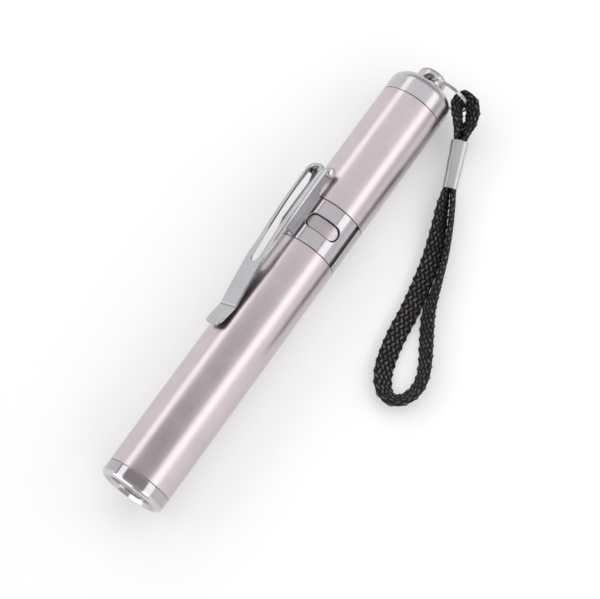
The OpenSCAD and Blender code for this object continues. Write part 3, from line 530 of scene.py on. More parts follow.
# %% [markdown]
# The wrist strap is one flat braid. It runs from the ferrule round the hand loop and back, then through
# the ferrule to the small eye on the ring. A simulated cord would fall where it likes, so the route is a
# list of points chosen from the photo. The braid stands on edge at the ferrule and twists over onto
# its side and back along the loop; the last number of each point is that twist in degrees.
# %% Strap route
FERRULE_TOP, FERRULE_FOOT = np.array((-45.2, 12.1, 4.35)), np.array((-35.6, 15.9, 2.95))
STRAND_STEP, NEAR_TOP, HALFWAY, NEAR_FOOT = 0.675, 0.1, 0.5, 0.9
EYE_ROUTE = [(-46.2, 10.9, 5, 14), (-47.6, 10.1, 5.5, 24), (-49.3, 8.7, 6, 30), (-50.9, 7.5, 6.3, 32),
             (-52.3, 7.2, 6.45, 32), (-53.2, 7.9, 6.5, 30), (-53.2, 9.2, 6.5, 30), (-52.2, 10.6, 6.4, 34),
             (-50.5, 11.5, 6.1, 36), (-48.7, 12, 5.7, 32), (-47, 12.3, 5.2, 16)]
LOOP_ROUTE = [(-34.2, 15.8, 2.8, 18), (-31.4, 16.9, 2.5, 34), (-28.1, 18.4, 2.2, 46), (-21.9, 20.8, 1.5, 70),
              (-16.1, 22.2, 1.2, 79), (-9.7, 23.4, 1.15, 80), (-4, 24.1, 1.2, 78), (0.8, 25.1, 1.3, 72),
              (4.7, 26.5, 1.65, 64), (7.3, 28.5, 1.85, 55), (8.1, 30.3, 1.95, 48), (7.5, 32, 2.05, 44),
              (6.2, 33.1, 2, 42), (3.9, 33.8, 2.1, 40), (1, 33.5, 2.1, 36), (-2.4, 32, 2.2, 34),
              (-6.3, 29.7, 2.1, 36), (-11.6, 26.8, 2.1, 34), (-17.6, 25, 2.2, 15), (-23, 23.2, 2.2, 6),
              (-29, 20.5, 2.3, 2), (-33.5, 18.1, 2.7, 0)]


def strand(share, side):
    """A point of the braid inside the ferrule, on one side of its middle line."""
    run = FERRULE_FOOT - FERRULE_TOP
    sideways = np.array((-run[1], run[0], 0)) / math.hypot(run[0], run[1])
    return (*(FERRULE_TOP + share * run + side * STRAND_STEP * sideways), 0)


route = ([strand(HALFWAY, -1), strand(NEAR_FOOT, -1)] + LOOP_ROUTE
         + [strand(share, 1) for share in (NEAR_FOOT, HALFWAY, NEAR_TOP)]
         + EYE_ROUTE[::-1] + [strand(NEAR_TOP, -1), strand(HALFWAY, -1)])
print("strap route of", len(route), "points")

# %% [markdown]
# A plain curve through these points would swing out at the tight turns. A centripetal spline doesn't, and
# its samples are spaced evenly, so that the weave keeps its size. Each sample also stores which way the
# braid's width and thickness point, because a Blender curve would choose a twist of its own.
# %% Strap line
SPAN_STEPS, SPACING = 24, 0.4


def between(first, last, low, high, t):
    return first + (last - first) * (t - low) / (high - low)


def smooth_line(points, spacing):
    """A smooth line through the points, with evenly spaced samples, and its length."""
    p = np.array(points, float)
    p = np.vstack((2 * p[0] - p[1], p, 2 * p[-1] - p[-2]))
    chords = np.linalg.norm(np.diff(p[:, :3], axis=0), axis=1)
    knots = np.concatenate(((0,), np.cumsum(np.sqrt(chords))))
    samples = []
    for i in range(1, len(p) - 2):
        k0, k1, k2, k3 = knots[i - 1:i + 3]
        t = np.linspace(k1, k2, SPAN_STEPS, endpoint=False)[:, None]
        a = between(p[i - 1], p[i], k0, k1, t)
        b = between(p[i], p[i + 1], k1, k2, t)
        c = between(p[i + 1], p[i + 2], k2, k3, t)
        samples.append(between(between(a, b, k0, k2, t), between(b, c, k1, k3, t), k1, k2, t))
    line = np.vstack(samples + [p[-2:-1]])
    run = np.concatenate(((0,), np.cumsum(np.linalg.norm(np.diff(line[:, :3], axis=0), axis=1))))
    even_run = np.linspace(0, run[-1], round(run[-1] / spacing))
    return np.stack([np.interp(even_run, run, line[:, i]) for i in range(4)], axis=1), run[-1]


strap, strap_long = smooth_line(route, SPACING)
heading = np.gradient(strap[:, :3], axis=0)
heading /= np.linalg.norm(heading, axis=1)[:, None]
upright = np.array((0, 0, 1.0)) - heading * heading[:, 2:3]
upright /= np.linalg.norm(upright, axis=1)[:, None]
twist = np.radians(strap[:, 3:4])
wide = np.cos(twist) * upright + np.sin(twist) * np.cross(heading, upright)
thin = np.cross(heading, wide)
path_mesh = bpy.data.meshes.new("strap_path")
path_mesh.from_pydata([tuple(point * MM) for point in strap[:, :3]],
                      [(i, i + 1) for i in range(len(strap) - 1)], [])
for label, values in (("wide", wide), ("thin", thin)):
    path_mesh.attributes.new(label, "FLOAT_VECTOR", "POINT").data.foreach_set("vector", values.ravel())
print("strap centreline", round(strap_long, 1), "mm")

# %% [markdown]
# The braid and the ring both follow a rule, so Geometry Nodes make them. Python could place each point too,
# but a tree can be used again on another path, with other sizes in its named inputs. It closes with real
# geometry and a material, and its result becomes a plain mesh, because the export keeps no instances.
# %% Opening and closing a node tree
def opened(tree, inputs):
    """Names a tree's inputs and returns its input wires and the identifiers of its inputs."""
    tree.interface.new_socket(name="Geometry", in_out="OUTPUT", socket_type="NodeSocketGeometry")
    tree.interface.new_socket(name="Path", in_out="INPUT", socket_type="NodeSocketGeometry")
    names = {}
    for name, (kind, value) in inputs.items():
        socket = tree.interface.new_socket(name=name, in_out="INPUT", socket_type="NodeSocket" + kind)
        names[name] = socket.identifier
    return Wire(tree).node("NodeGroupInput"), names


def closed_off(wires, geometry, material):
    """Ends a tree: real geometry, smooth faces and its material."""
    real = wires.node("GeometryNodeRealizeInstances", {}, {"Geometry": geometry})
    smooth = wires.node("GeometryNodeSetShadeSmooth", {}, {"Geometry": real})
    dressed = wires.node("GeometryNodeSetMaterial", {}, {"Geometry": smooth, "Material": material})
    wires.node("NodeGroupOutput", {}, {0: dressed})
    print(wires.tree.name, "has", len(wires.tree.nodes), "nodes")


def grown(name, mesh, tree, names, inputs, **changed):
    """A mesh object from a tree, with its inputs set before the tree first runs."""
    source = bpy.data.objects.new(name, mesh)
    modifier = source.modifiers.new("nodes", "NODES")
    modifier.node_group = tree
    for label, (kind, value) in inputs.items():
        modifier[names[label]] = changed.get(label, value)
    scene.collection.objects.link(source)
    finished = evaluated(source)
    source.modifiers.clear()
    source.data = finished
    return source


print("the braid's path has", len(path_mesh.vertices), "points")

# %% [markdown]
# A braiding machine sends half of its carriers one way round the cord and half the other way. Each yarn
# passes over one yarn and under the next. The node tree follows the same plan: the carriers are copies of
# one line, and each is placed round the flat section by its share of a turn. A bump map could draw the
# pattern, but only real yarns give the strap its rough outline.
# %% Braid carriers
BRAID_W, BRAID_T, CARRIERS, LAY, YARN_STEPS = 4.2, 1.3, 8, 17, 800
YARN_W, YARN_H, WEAVE = 0.98, 0.5, 0.15
STRAIGHT_SHARE, FACE_STEEPNESS, TURNS_BEFORE = 0.65, 2.2, 64
BRAID_INPUTS = {"Carriers": ("Int", CARRIERS), "Turns": ("Float", strap_long / LAY),
                "Steps": ("Int", YARN_STEPS), "Width": ("Float", BRAID_W * MM),
                "Thickness": ("Float", BRAID_T * MM), "Yarn": ("Float", YARN_W * MM),
                "Yarn Height": ("Float", YARN_H * MM), "Weave": ("Float", WEAVE * MM),
                "Material": ("Material", None)}
braid_tree = bpy.data.node_groups.new("flat_braid", "GeometryNodeTree")
given, braid_names = opened(braid_tree, BRAID_INPUTS)
carriers, turns, steps, width, thick, yarn_w, yarn_h, lift, finish = (given.of(name) for name in BRAID_INPUTS)
path = given.node("GeometryNodeMeshToCurve", {}, {"Mesh": given.of("Path")})
line = given.node("GeometryNodeCurvePrimitiveLine", {}, {"End": (1, 0, 0)})
fine = given.node("GeometryNodeResampleCurve", {}, {"Curve": line, "Count": steps})
yarns = given.node("GeometryNodeDuplicateElements", {"domain": "SPLINE"},
                   {"Geometry": fine, "Amount": carriers * 2})
number = yarns.of("Duplicate Index")
along = given.node("GeometryNodeSplineParameter", out="Index") / (steps - 1)
way = number.math("MODULO", number, 2) * 2 - 1
carrier = number.math("FLOOR", number / 2)
turned_by = along * turns
share = number.math("FRACT", turned_by * way + carrier / carriers + TURNS_BEFORE)
zigzag = number.math("ABSOLUTE", share * 2 - 1) * 2 - 1
across = zigzag * STRAIGHT_SHARE + number.math("SINE", zigzag * (math.pi / 2)) * (1 - STRAIGHT_SHARE)
face = number.math("TANH", number.math("SINE", share * math.tau) * FACE_STEEPNESS)
rim = across * (1 - face * face)
weave = number.math("COSINE", turned_by * carriers * math.tau) * way * lift
print("carriers:", 2 * CARRIERS, "and turns:", round(strap_long / LAY, 2))

# %% [markdown]
# A few steps come up again and again in the braid: reading what the path stored, keeping a value on a yarn,
# turning a curve to face outward and sweeping an oval along it. Each could be written out where it is used,
# but a function with a name reads like the step that it is.
# %% Braid steps
def stored(label):
    return given.node("GeometryNodeInputNamedAttribute", {"data_type": "FLOAT_VECTOR"}, {"Name": label})


def sampled(label):
    return given.node("GeometryNodeSampleCurve", {"mode": "FACTOR", "data_type": "FLOAT_VECTOR"},
                      {"Curves": path, "Value": stored(label), "Factor": along})


def kept(geometry, label, value):
    return given.node("GeometryNodeStoreNamedAttribute", {"data_type": "FLOAT"},
                      {"Geometry": geometry, "Name": label, "Value": value})


def turned_to(curve, way_out):
    return given.node("GeometryNodeSetCurveNormal", {"mode": "FREE"}, {"Curve": curve, "Normal": way_out})


def oval(geometry, first, second):
    size = given.node("ShaderNodeCombineXYZ", {}, {0: first, 1: second, 2: 1.0})
    return given.node("GeometryNodeTransform", {}, {"Geometry": geometry, "Scale": size})


def unit_circle(sides):
    return given.node("GeometryNodeCurvePrimitiveCircle", {}, {"Resolution": sides, "Radius": 0.5})


def swept(curve, section):
    sockets = {"Curve": curve, "Profile Curve": section, "Fill Caps": True}
    return given.node("GeometryNodeCurveToMesh", {}, sockets)


print("braid tree has", len(braid_tree.nodes), "nodes so far")

# %% [markdown]
# Each yarn is a flat bundle of fibres. A round yarn would be simpler, but it would stand up like a cord, so
# an oval is swept along the strap's line with its broad side outward. It keeps where it is on the strap,
# how far it is raised and which way its skin faces, for the finish to read. A dark core fills the gaps
# between the yarns, as the other side of the braid does.
# %% Braid yarns
YARN_SIDES, CORE_SIDES, CORE_W, CORE_T = 6, 12, 0.86, 0.5
wide_way, thin_way = sampled("wide"), sampled("thin")
half_w = (width - yarn_h) * 0.5
half_t = (thick - yarn_h) * 0.5 - lift
spot = wide_way.of("Position").plus(wide_way.scaled(across * half_w + rim * weave)).plus(
    thin_way.scaled(face * half_t + face * weave))
placed = given.node("GeometryNodeSetPosition", {}, {"Geometry": yarns, "Position": spot})
facing = turned_to(placed, wide_way.scaled(rim).plus(thin_way.scaled(face)))
measured = kept(kept(facing, "run", along), "raised", weave / lift)
around = given.node("GeometryNodeSplineParameter", out="Factor")
ringed = kept(unit_circle(YARN_SIDES), "crown", around.math("COSINE", around * math.tau))
woven = swept(measured, oval(ringed, yarn_h, yarn_w))
core = swept(turned_to(path, stored("wide")), oval(unit_circle(CORE_SIDES), width * CORE_W, thick * CORE_T))
both = given.node("GeometryNodeJoinGeometry")
for layer in (woven, core):
    braid_tree.links.new(layer.socket, both.socket.node.inputs[0])
closed_off(given, both, finish)

# %% [markdown]
# The yarn is black polyester with a soft shine. Its fibres are twisted, so a fine slanted line runs round
# each yarn. A painted highlight lightens the crown of each yarn at the raised crossings, broken up by a
# random mottle and by the fibre lines. A pattern in the object's coordinates would run straight on where
# the strap bends, so the finish reads what each yarn stored.
# %% Braid finish and strap
FIBRE_SLANT, FIBRES, FIBRE_LIFT, FIBRE_DEEP, FIBRE_SHARE = 1.5, 900, 0.4, 0.04 * MM, 0.5
HIGHLIGHT_MOTTLE_SCALE, HIGHLIGHT_MOTTLE_FROM, HIGHLIGHT_MOTTLE_TO, HIGHLIGHT_MOTTLE_SHARE = 900, 0.35, 0.7, 0.75
RAISED_FROM, CROWN_FROM = -0.1, 0.6
YARN_DARK, YARN_PAINTED_SHEEN = shade(0.008, 0.007, 0.007), shade(0.195, 0.183, 0.175)
GAP_ROUGHNESS, CROSSING_GLOSS, YARN_SPECULAR = 0.62, 0.2, 0.2
wires, spot, lay_on = painted("black_braid")


def read(label):
    return wires.node("ShaderNodeAttribute", {"attribute_name": label}, out="Fac")


crown = read("crown")
fibre = crown.math("SINE", (crown * FIBRE_SLANT + read("run") * FIBRES) * math.tau) * 0.5 + 0.5
highlight_mottle = wires.noise(spot, HIGHLIGHT_MOTTLE_SCALE).eased(HIGHLIGHT_MOTTLE_FROM, HIGHLIGHT_MOTTLE_TO)
raised = read("raised").eased(RAISED_FROM, 1.0)
# Painted highlight: the yarn's colour is lighter on the crown of each raised crossing.
painted_sheen = raised * crown.eased(CROWN_FROM, 1.0)
painted_sheen = painted_sheen * (1 - HIGHLIGHT_MOTTLE_SHARE + highlight_mottle * HIGHLIGHT_MOTTLE_SHARE) * (1 - FIBRE_SHARE + fibre * FIBRE_SHARE)
bump = wires.node("ShaderNodeBump", {}, {"Strength": FIBRE_LIFT, "Distance": FIBRE_DEEP, "Height": fibre})
BRAID = lay_on(Base_Color=painted_sheen.mix(YARN_DARK, YARN_PAINTED_SHEEN), Roughness=GAP_ROUGHNESS - CROSSING_GLOSS * raised,
               Specular_IOR_Level=YARN_SPECULAR, Normal=bump)
strap_piece = grown("wrist_strap", path_mesh, braid_tree, braid_names, BRAID_INPUTS, Material=BRAID)
fitted(strap_piece, "ring", BRAID, "braid", "strap_eye", "strap_loop")

# %% [markdown]
# The ferrule is a short piece of oval tube that is pressed flat round the four ends of braid. Its mouths
# are rolled in a little, and the press leaves shallow dents in its sides. A scaled cylinder would have
# neither, so its wall is drawn as an outline and carried round as ovals that narrow at the dents.
# %% Ferrule
FERRULE_HALF_W, FERRULE_HALF_H, FERRULE_ROUND, FERRULE_WALL, FERRULE_TAPER = 1.85, 2.5, 0.65, 0.35, 0.03
MOUTH_ROLL, WALL_STEP = 0.16, 0.3
DENT_DEEP, DENT_LONG, DENTS_AT = 0.16, 0.9, (0.3, 0.7)
run = Vector(FERRULE_FOOT - FERRULE_TOP)
ferrule_long = run.length
run.normalize()
sideways = Vector((-run.y, run.x, 0)).normalized()
upward = run.cross(sideways)
mouths = rounded([(0, 0, MOUTH_ROLL), (ferrule_long, 0, MOUTH_ROLL),
                  (ferrule_long, -FERRULE_WALL, MOUTH_ROLL), (0, -FERRULE_WALL, MOUTH_ROLL)])
wall = []
for (along, out), (next_along, next_out) in zip(mouths, mouths[1:] + mouths[:1]):
    count = max(1, round(abs(next_along - along) / WALL_STEP))
    wall += [(along + (next_along - along) * i / count, out + (next_out - out) * i / count)
             for i in range(count)]


def pressed_oval(along, out):
    """One oval of the ferrule's wall, as points sideways and upward."""
    w, h = FERRULE_HALF_W - FERRULE_TAPER * along + out, FERRULE_HALF_H + out
    corner = w * FERRULE_ROUND
    dent = DENT_DEEP * sum(math.exp(-((along - ferrule_long * share) / DENT_LONG) ** 2) for share in DENTS_AT)
    plain = rounded([(-w, -h, corner), (w, -h, corner), (w, h, corner), (-w, h, corner)])
    return [(a * (1 - dent / FERRULE_HALF_W * max(0, 1 - (b / h) ** 2)), b) for a, b in plain]


shape = bmesh.new()
rings = [[shape.verts.new(Vector(FERRULE_TOP) * MM + (run * along + sideways * a + upward * b) * MM)
          for a, b in pressed_oval(along, out)] for along, out in wall]
ferrule = made("crimped_ferrule", skinned(shape, rings, True))
fitted(ferrule, "ring", CRIMP_METAL, "ferrule_metal", "ferrule")

# %% [markdown]
# The ring is two coils of thin wire, as on a key ring. A torus would be one closed ring, so a node tree
# winds a flat spiral of two turns instead, and shifts it sideways in a short jog near its middle, where
# one coil steps over to the other.
# %% Split ring
RING_R, RING_PLANE, RING_SIDE, COIL = 5.0, 105.59, 4.42, 0.37
COIL_STEPS, COILS, WIRE_SIDES, WIRE_SHARE = 96, 2.0, 14, 0.49
JOG_FROM, JOG_TO = 0.46, 0.54
RING_INPUTS = {"Radius": ("Float", RING_R * MM), "Coil": ("Float", COIL * MM),
               "Material": ("Material", WIRE_STEEL)}
ring_tree = bpy.data.node_groups.new("two_coils", "GeometryNodeTree")
given, ring_names = opened(ring_tree, RING_INPUTS)
radius, coil, finish = (given.of(name) for name in RING_INPUTS)
spiral = given.node("GeometryNodeCurveSpiral", {}, {
    "Resolution": COIL_STEPS, "Rotations": COILS, "Height": 0.0,
    "Start Radius": radius, "End Radius": radius})
along = given.node("GeometryNodeSplineParameter", out="Factor")
jog = (along.eased(JOG_FROM, JOG_TO) - 0.5) * coil
sideways_jog = given.node("ShaderNodeCombineXYZ", {}, {2: jog})
shifted = given.node("GeometryNodeSetPosition", {}, {"Geometry": spiral, "Offset": sideways_jog})
section = given.node("GeometryNodeCurvePrimitiveCircle", {},
                     {"Resolution": WIRE_SIDES, "Radius": coil * WIRE_SHARE})
stood = given.node("GeometryNodeTransform", {}, {
    "Geometry": swept(shifted, section), "Translation": tuple(at(RING_PLANE, 0, RING_SIDE, 0)),
    "Rotation": (0, math.pi / 2, 0)})
closed_off(given, stood, finish)
ring_piece = grown("wire_ring", bpy.data.meshes.new("ring"), ring_tree, ring_names, RING_INPUTS)
fitted(ring_piece, "ring", WIRE_STEEL, "chrome_trim", "split_ring")

# %% [markdown]
# The bezel and the tubes are turned parts. A cylinder with a bevel would have one radius everywhere, so
# each is drawn as a profile: the outline that a lathe tool would follow, with a small radius where the
# maker broke the edge. The bezel's front is rounder, and its mouth is a short funnel that leads to the lens.
# %% Bezel and tubes
BORE_R, SPIGOT_R, BREAK, INNER_BREAK = 6.5, 6.45, 0.08, 0.05
FUNNEL_R, FUNNEL_END, LIP, MOUTH_R, LENS_SEAT = 5.93, 0.72, 0.9, 5.3, 5.95
NOSE_ROUND, SEAM_ROUND = 1.0, 0.24
BEZEL_END, SPIGOT_END = HEAD[0], stations("bezel")[1]
bezel = turned("chrome_bezel", rounded([
    (0, FUNNEL_R, BREAK), (0, TUBE_R, NOSE_ROUND), (BEZEL_END, TUBE_R, SEAM_ROUND), (BEZEL_END, SPIGOT_R, 0),
    (SPIGOT_END, SPIGOT_R, BREAK), (SPIGOT_END, LENS_SEAT, 0), (LIP, LENS_SEAT, 0), (LIP, MOUTH_R, 0),
    (FUNNEL_END, MOUTH_R, INNER_BREAK)]), True)
fitted(bezel, "barrel", BEZEL_CHROME, "chrome_trim", "bezel")


def tube(name, node, body):
    start, end = stations(node)
    piece = turned(name, rounded([(start, BORE_R, INNER_BREAK), (start, TUBE_R, BREAK), (end, TUBE_R, BREAK),
                                  (end, BORE_R, INNER_BREAK)]), True)
    return fitted(piece, body, BRUSHED, "brushed_tube", node)


tube("brushed_head_tube", "head_tube", "barrel")
tube("brushed_tail_tube", "tail_tube", "cap")

# %% [markdown]
# The reflector is a bright cup behind the lens. A cone would throw a ring of light; a real cup is a
# parabola, which sends the light straight ahead, so the square of its radius falls evenly with depth.
# %% Reflector
CUP_FROM, CUP_TO = stations("reflector")
CUP_MOUTH, CUP_THROAT, CUP_WALL, CUP_RIM, CUP_CLEAR, CUP_STEPS = 5.2, 2.1, 0.5, 0.9, 0.1, 24
bowl = [(CUP_FROM + (CUP_TO - CUP_FROM) * deep,
         math.sqrt(CUP_MOUTH ** 2 * (1 - deep) + CUP_THROAT ** 2 * deep))
        for deep in np.linspace(0, 1, CUP_STEPS + 1)]
shell = [(s, r + CUP_WALL) for s, r in bowl[::-1] if s > CUP_FROM + CUP_RIM]
rim_band = [(CUP_FROM + CUP_RIM, LENS_SEAT - CUP_CLEAR), (CUP_FROM, LENS_SEAT - CUP_CLEAR)]
cup = turned("bright_reflector", bowl + shell + rim_band, True)
fitted(cup, "barrel", MIRROR, "reflector_bright", "reflector")

# %% [markdown]
# The tail cap is a straight rim, a dome and a small knob. The ring passes through a hole that is drilled
# across the knob's foot. Faces could be left out for it, but the hole's edge would then be ragged, so a
# Boolean modifier cuts it after the turning, as a drill would.
# %% Tail cap
DOME_FROM, DOME_END, DOME_STEPS, CROWN_R = 101.89, 104.99, 20, 2.8
KNOB_R, KNOB_ROUND, KNOB_STEP = 3.2, 1.0, 0.02
CAP_WALL, RIM_BACK = 1.0, 0.1
HOLE_R, HOLE_AT, HOLE_LONG, HOLE_SIDES = 1.4, 105.19, 9.0, 72
CAP_FROM = TAIL[1] + SEAM
edge = rounded([(CAP_FROM, 0, 0), (CAP_FROM, SPIGOT_R - CAP_WALL, 0), (CAP[0], SPIGOT_R - CAP_WALL, BREAK),
                (CAP[0], SPIGOT_R, BREAK), (CAP_FROM, SPIGOT_R, 0), (CAP_FROM, TUBE_R, BREAK),
                (DOME_FROM - RIM_BACK, TUBE_R, 0)], False)
dome = [(DOME_FROM + (DOME_END - DOME_FROM) * math.sin(t), CROWN_R + (TUBE_R - CROWN_R) * math.cos(t))
        for t in np.linspace(0, math.pi / 2, DOME_STEPS + 1)[:-1]]
knob = rounded([(DOME_END, KNOB_R, 0), (CAP[1], KNOB_R, KNOB_ROUND), (CAP[1], 0, 0)], False)[1:]
cap = turned("chrome_tail_cap", edge + dome + [(DOME_END, KNOB_R - KNOB_STEP)] + knob, False)
drill = turned("drill", [(0, 0), (0, HOLE_R), (2 * HOLE_LONG, HOLE_R), (2 * HOLE_LONG, 0)], False,
               at(HOLE_AT, -HOLE_LONG, 0, 0), Vector((0, 0, 1)), HOLE_SIDES)
cut = cap.modifiers.new("hole", "BOOLEAN")
cut.object, cut.operation, cut.solver = drill, "DIFFERENCE", "EXACT"
bored = evaluated(cap)
cap.modifiers.clear()
cap.data = bored
bpy.data.objects.remove(drill)
cap.data.set_sharp_from_angle(angle=math.radians(CREASE))
fitted(even(cap), "cap", SATIN, "chrome_trim", "tail_cap")

# %% [markdown]
# The waist band is a strip of chromed sheet, stamped with a round-ended window and rolled to a C whose
# ends nearly meet. A turned ring with a window cut by a Boolean would have sharp edges there, so the strip
# is stamped flat with its round edges, and then rolled.
# %% Waist band
BAND_IN, BAND_EDGE, ROLL_STEP = 6.2, 0.12, 3.0
SLIT_ANGLE, SLIT_W = 65.0, 1.3
WINDOW_AT, WINDOW_LONG, WINDOW_W, WINDOW_ANGLE, WINDOW_POINTS = 64.92, 7.75, 3.35, 10.0, 15


def stadium(middle, long, broad):
    """An outline with round ends; long runs along the first coordinate."""
    a, b = middle
    radius = broad / 2
    reach, quarter = long / 2 - radius, math.pi / 2
    return (arc((a + reach, b), radius, -quarter, quarter, WINDOW_POINTS)
            + arc((a - reach, b), radius, quarter, 3 * quarter, WINDOW_POINTS))


def rolled(radius):
    """Wraps a flat blank round the barrel: its length goes round, its middle thickness lies at the radius."""
    return lambda a, b, c: at(b, radius + c, 0, math.degrees(a / radius))


def band_length(angle):
    return math.radians(angle) * band_mid


band_mid = (BAND_IN + TUBE_R) / 2
slit_half = math.degrees(SLIT_W / 2 / TUBE_R)
start, end = SLIT_ANGLE + slit_half - 360, SLIT_ANGLE - slit_half
strip_line = [(band_length(start), BAND[0]), (band_length(end), BAND[0]),
              (band_length(end), BAND[1]), (band_length(start), BAND[1])]
window = stadium((band_length(WINDOW_ANGLE), WINDOW_AT), WINDOW_LONG, WINDOW_W)
bends = [band_length(angle) for angle in np.arange(start + ROLL_STEP / 2, end, ROLL_STEP)]
strip = bent(sheet([strip_line, window], TUBE_R - BAND_IN, BAND_EDGE, bends), rolled(band_mid))
band = even(made("chrome_waist_band", strip), from_axis)
fitted(band, "barrel", CHROME, "chrome_trim", "clip_band")

# %% [markdown]
# The clip leans over one side of the barrel. It rises in an arch from its bend near the foot to a pin behind
# the band. The arch could be a curve that is drawn by hand, but a rule gives its height and its slope at any
# station, and the bracket below has to stay under it.
# %% Arch of the clip
# The clip: its turn round the barrel, the stations of its foot, bend and top end, and how it rises.
CLIP_ANGLE = -45.0
FOOT, BEND, TOP, CLIP_T = 35.97, 41.17, 75.97, 0.5
BEND_U, FOOT_RISE, CLIP_RISE, ARCH, ARCH_RUN = 7.65, 0.75, 2.75, 2.3, 33.8
# The pin by its station, its height from the axis and its radius, and the eyes round it.
PIN_AT, PIN_U, PIN_R, EYE_R, HOLE_POINTS = 74.97, 8.25, 0.5, 1.0, 24


def arch(station):
    """Height of the clip's outer face from the barrel's axis."""
    if station < BEND:
        return BEND_U + FOOT_RISE * (BEND - station) / (BEND - FOOT)
    return BEND_U + CLIP_RISE * (1 - max(0, 1 - (station - BEND) / ARCH_RUN) ** ARCH)


print("clip's outer face:", arch(BEND), "mm from the axis at its bend,", round(arch(PIN_AT), 2), "at the pin")

# %% [markdown]
# Two ears stand up from the band and reach back to carry the clip's pin. They could be cut from one block,
# but sheet metal keeps their walls thin and their edges round. Each ear's upper edge follows the clip's
# arch. The left ear is low and lets light through the clip's slot, and the right ear has a hollow under its
# arm, both as in the photo.
# %% Bracket
# The ears: how they stand on the band, and where their front, arm and knee begin.
EAR_IN, EAR_T, EAR_EDGE, EAR_SUNK, EAR_TOE, EAR_BACK = 1.95, 0.5, 0.1, 0.2, 0.4, 0.1
EAR_FROM, ARM_FROM, KNEE_AT = BAND[0] + 0.4, BAND[0] + 3.0, BAND[1] + 2.0
EAR_DROP, EAR_GAP, FRONT_ROUND, ARM_ROUND, KNEE_ROUND = 0.7, 0.35, 0.4, 0.8, 0.3
# The neck of an ear and its eye, by angles round the pin, and the hollow under its arm.
LOW_NECK, HIGH_NECK, NECK_STEP, EYE_END, EYE_POINTS = 1.2, 0.2, 0.2, 0.9 * math.pi, 18
ARM_CLEAR, HOLLOW_BACK, HOLLOW_FROM, HOLLOW_POINTS = 0.2, 0.3, 0.5, 12
LEFT_TOP, LEFT_HOLLOW, RIGHT_TOP, RIGHT_HOLLOW = 8.0, TUBE_R + 0.4, math.inf, 7.7
ear_base = math.sqrt(TUBE_R ** 2 - (EAR_IN + EAR_T) ** 2) - EAR_SUNK


def ear_outline(top, hollow):
    """Side view of one ear: the highest its edge may stand, and the height of the hollow under its arm."""
    limits = ((EAR_FROM, top - EAR_DROP), (ARM_FROM, top), (BAND[1], top))
    front, arm, knee = [min(arch(station) - CLIP_T - EAR_GAP, limit) for station, limit in limits]
    neck = LOW_NECK if top < PIN_U else HIGH_NECK
    neck_end = (PIN_U + EYE_R * math.cos(neck), PIN_AT - EYE_R * math.sin(neck), 0)
    line = rounded([(ear_base, EAR_FROM, 0), (front, EAR_FROM, FRONT_ROUND), (arm, ARM_FROM, ARM_ROUND),
                    (knee, KNEE_AT, KNEE_ROUND), neck_end], False)
    line += arc((PIN_U, PIN_AT), EYE_R, NECK_STEP - neck, EYE_END, EYE_POINTS)
    under, hollow_run = TUBE_R + ARM_CLEAR, PIN_AT - BAND[1] - HOLLOW_BACK
    line += [(under + (hollow - under) * math.sin(t), PIN_AT - hollow_run * t / math.pi)
             for t in np.linspace(HOLLOW_FROM, math.pi, HOLLOW_POINTS)]
    return line + [(ear_base + EAR_TOE, BAND[1] - EAR_BACK), (ear_base, BAND[1] - EAR_BACK)]


def ear(side, top, hollow):
    pin_hole = arc((PIN_U, PIN_AT), PIN_R, 0, math.tau, HOLE_POINTS)[:-1]
    blank = sheet([ear_outline(top, hollow), pin_hole], EAR_T, EAR_EDGE)
    return bent(blank, lambda a, b, c: at(b, a, side * (EAR_IN + EAR_T / 2) + c, CLIP_ANGLE))


pin_axis = (at(0, 0, 1, CLIP_ANGLE) - at(0, 0, 0, CLIP_ANGLE)).normalized()
ears = joined(ear(-1, LEFT_TOP, LEFT_HOLLOW), ear(1, RIGHT_TOP, RIGHT_HOLLOW))
bracket = even(made("clip_bracket", ears), lambda spot: pin_axis)
fitted(bracket, "barrel", SHADED_BRACKET_STEEL, "chrome_trim")

# %% [markdown]
# The push button is a brushed pad that follows the barrel's curve. Its rim is held under the band, so the
# pad can go in but not fall out. A flat pad would stand out of the curved window at its ends, so pad and
# rim are blanks with round ends, rolled as the band is, and the gap round the pad stays even.
# %% Button
PAD_LONG, PAD_W, PAD_R, PAD_FOOT, PAD_EDGE = 7.58, 3.18, 6.55, 5.3, 0.18
FLANGE_W, FLANGE_TOP, FLANGE_T, FLANGE_EDGE = 4.25, 5.45, 0.4, 0.08
PAD_SWEEP, PAD_STEP = 40, 2.5


def rolled_pad(top, thick, broad, edge):
    """A blank with round ends under the band's window, rolled so that its upper face lies at a radius."""
    middle = top - thick / 2
    outline = stadium((math.radians(WINDOW_ANGLE) * middle, WINDOW_AT), PAD_LONG * middle / PAD_R, broad)
    cuts = [math.radians(WINDOW_ANGLE + angle) * middle
            for angle in np.arange(-PAD_SWEEP, PAD_SWEEP + 1, PAD_STEP)]
    return bent(sheet([outline], thick, edge, cuts), rolled(middle))


pad = joined(rolled_pad(PAD_R, PAD_R - PAD_FOOT, PAD_W, PAD_EDGE),
             rolled_pad(FLANGE_TOP, FLANGE_T, FLANGE_W, FLANGE_EDGE))
button = even(made("button_pad", pad), from_axis)
fitted(button, "button", PAD_STEEL, "button_steel", "power_button")

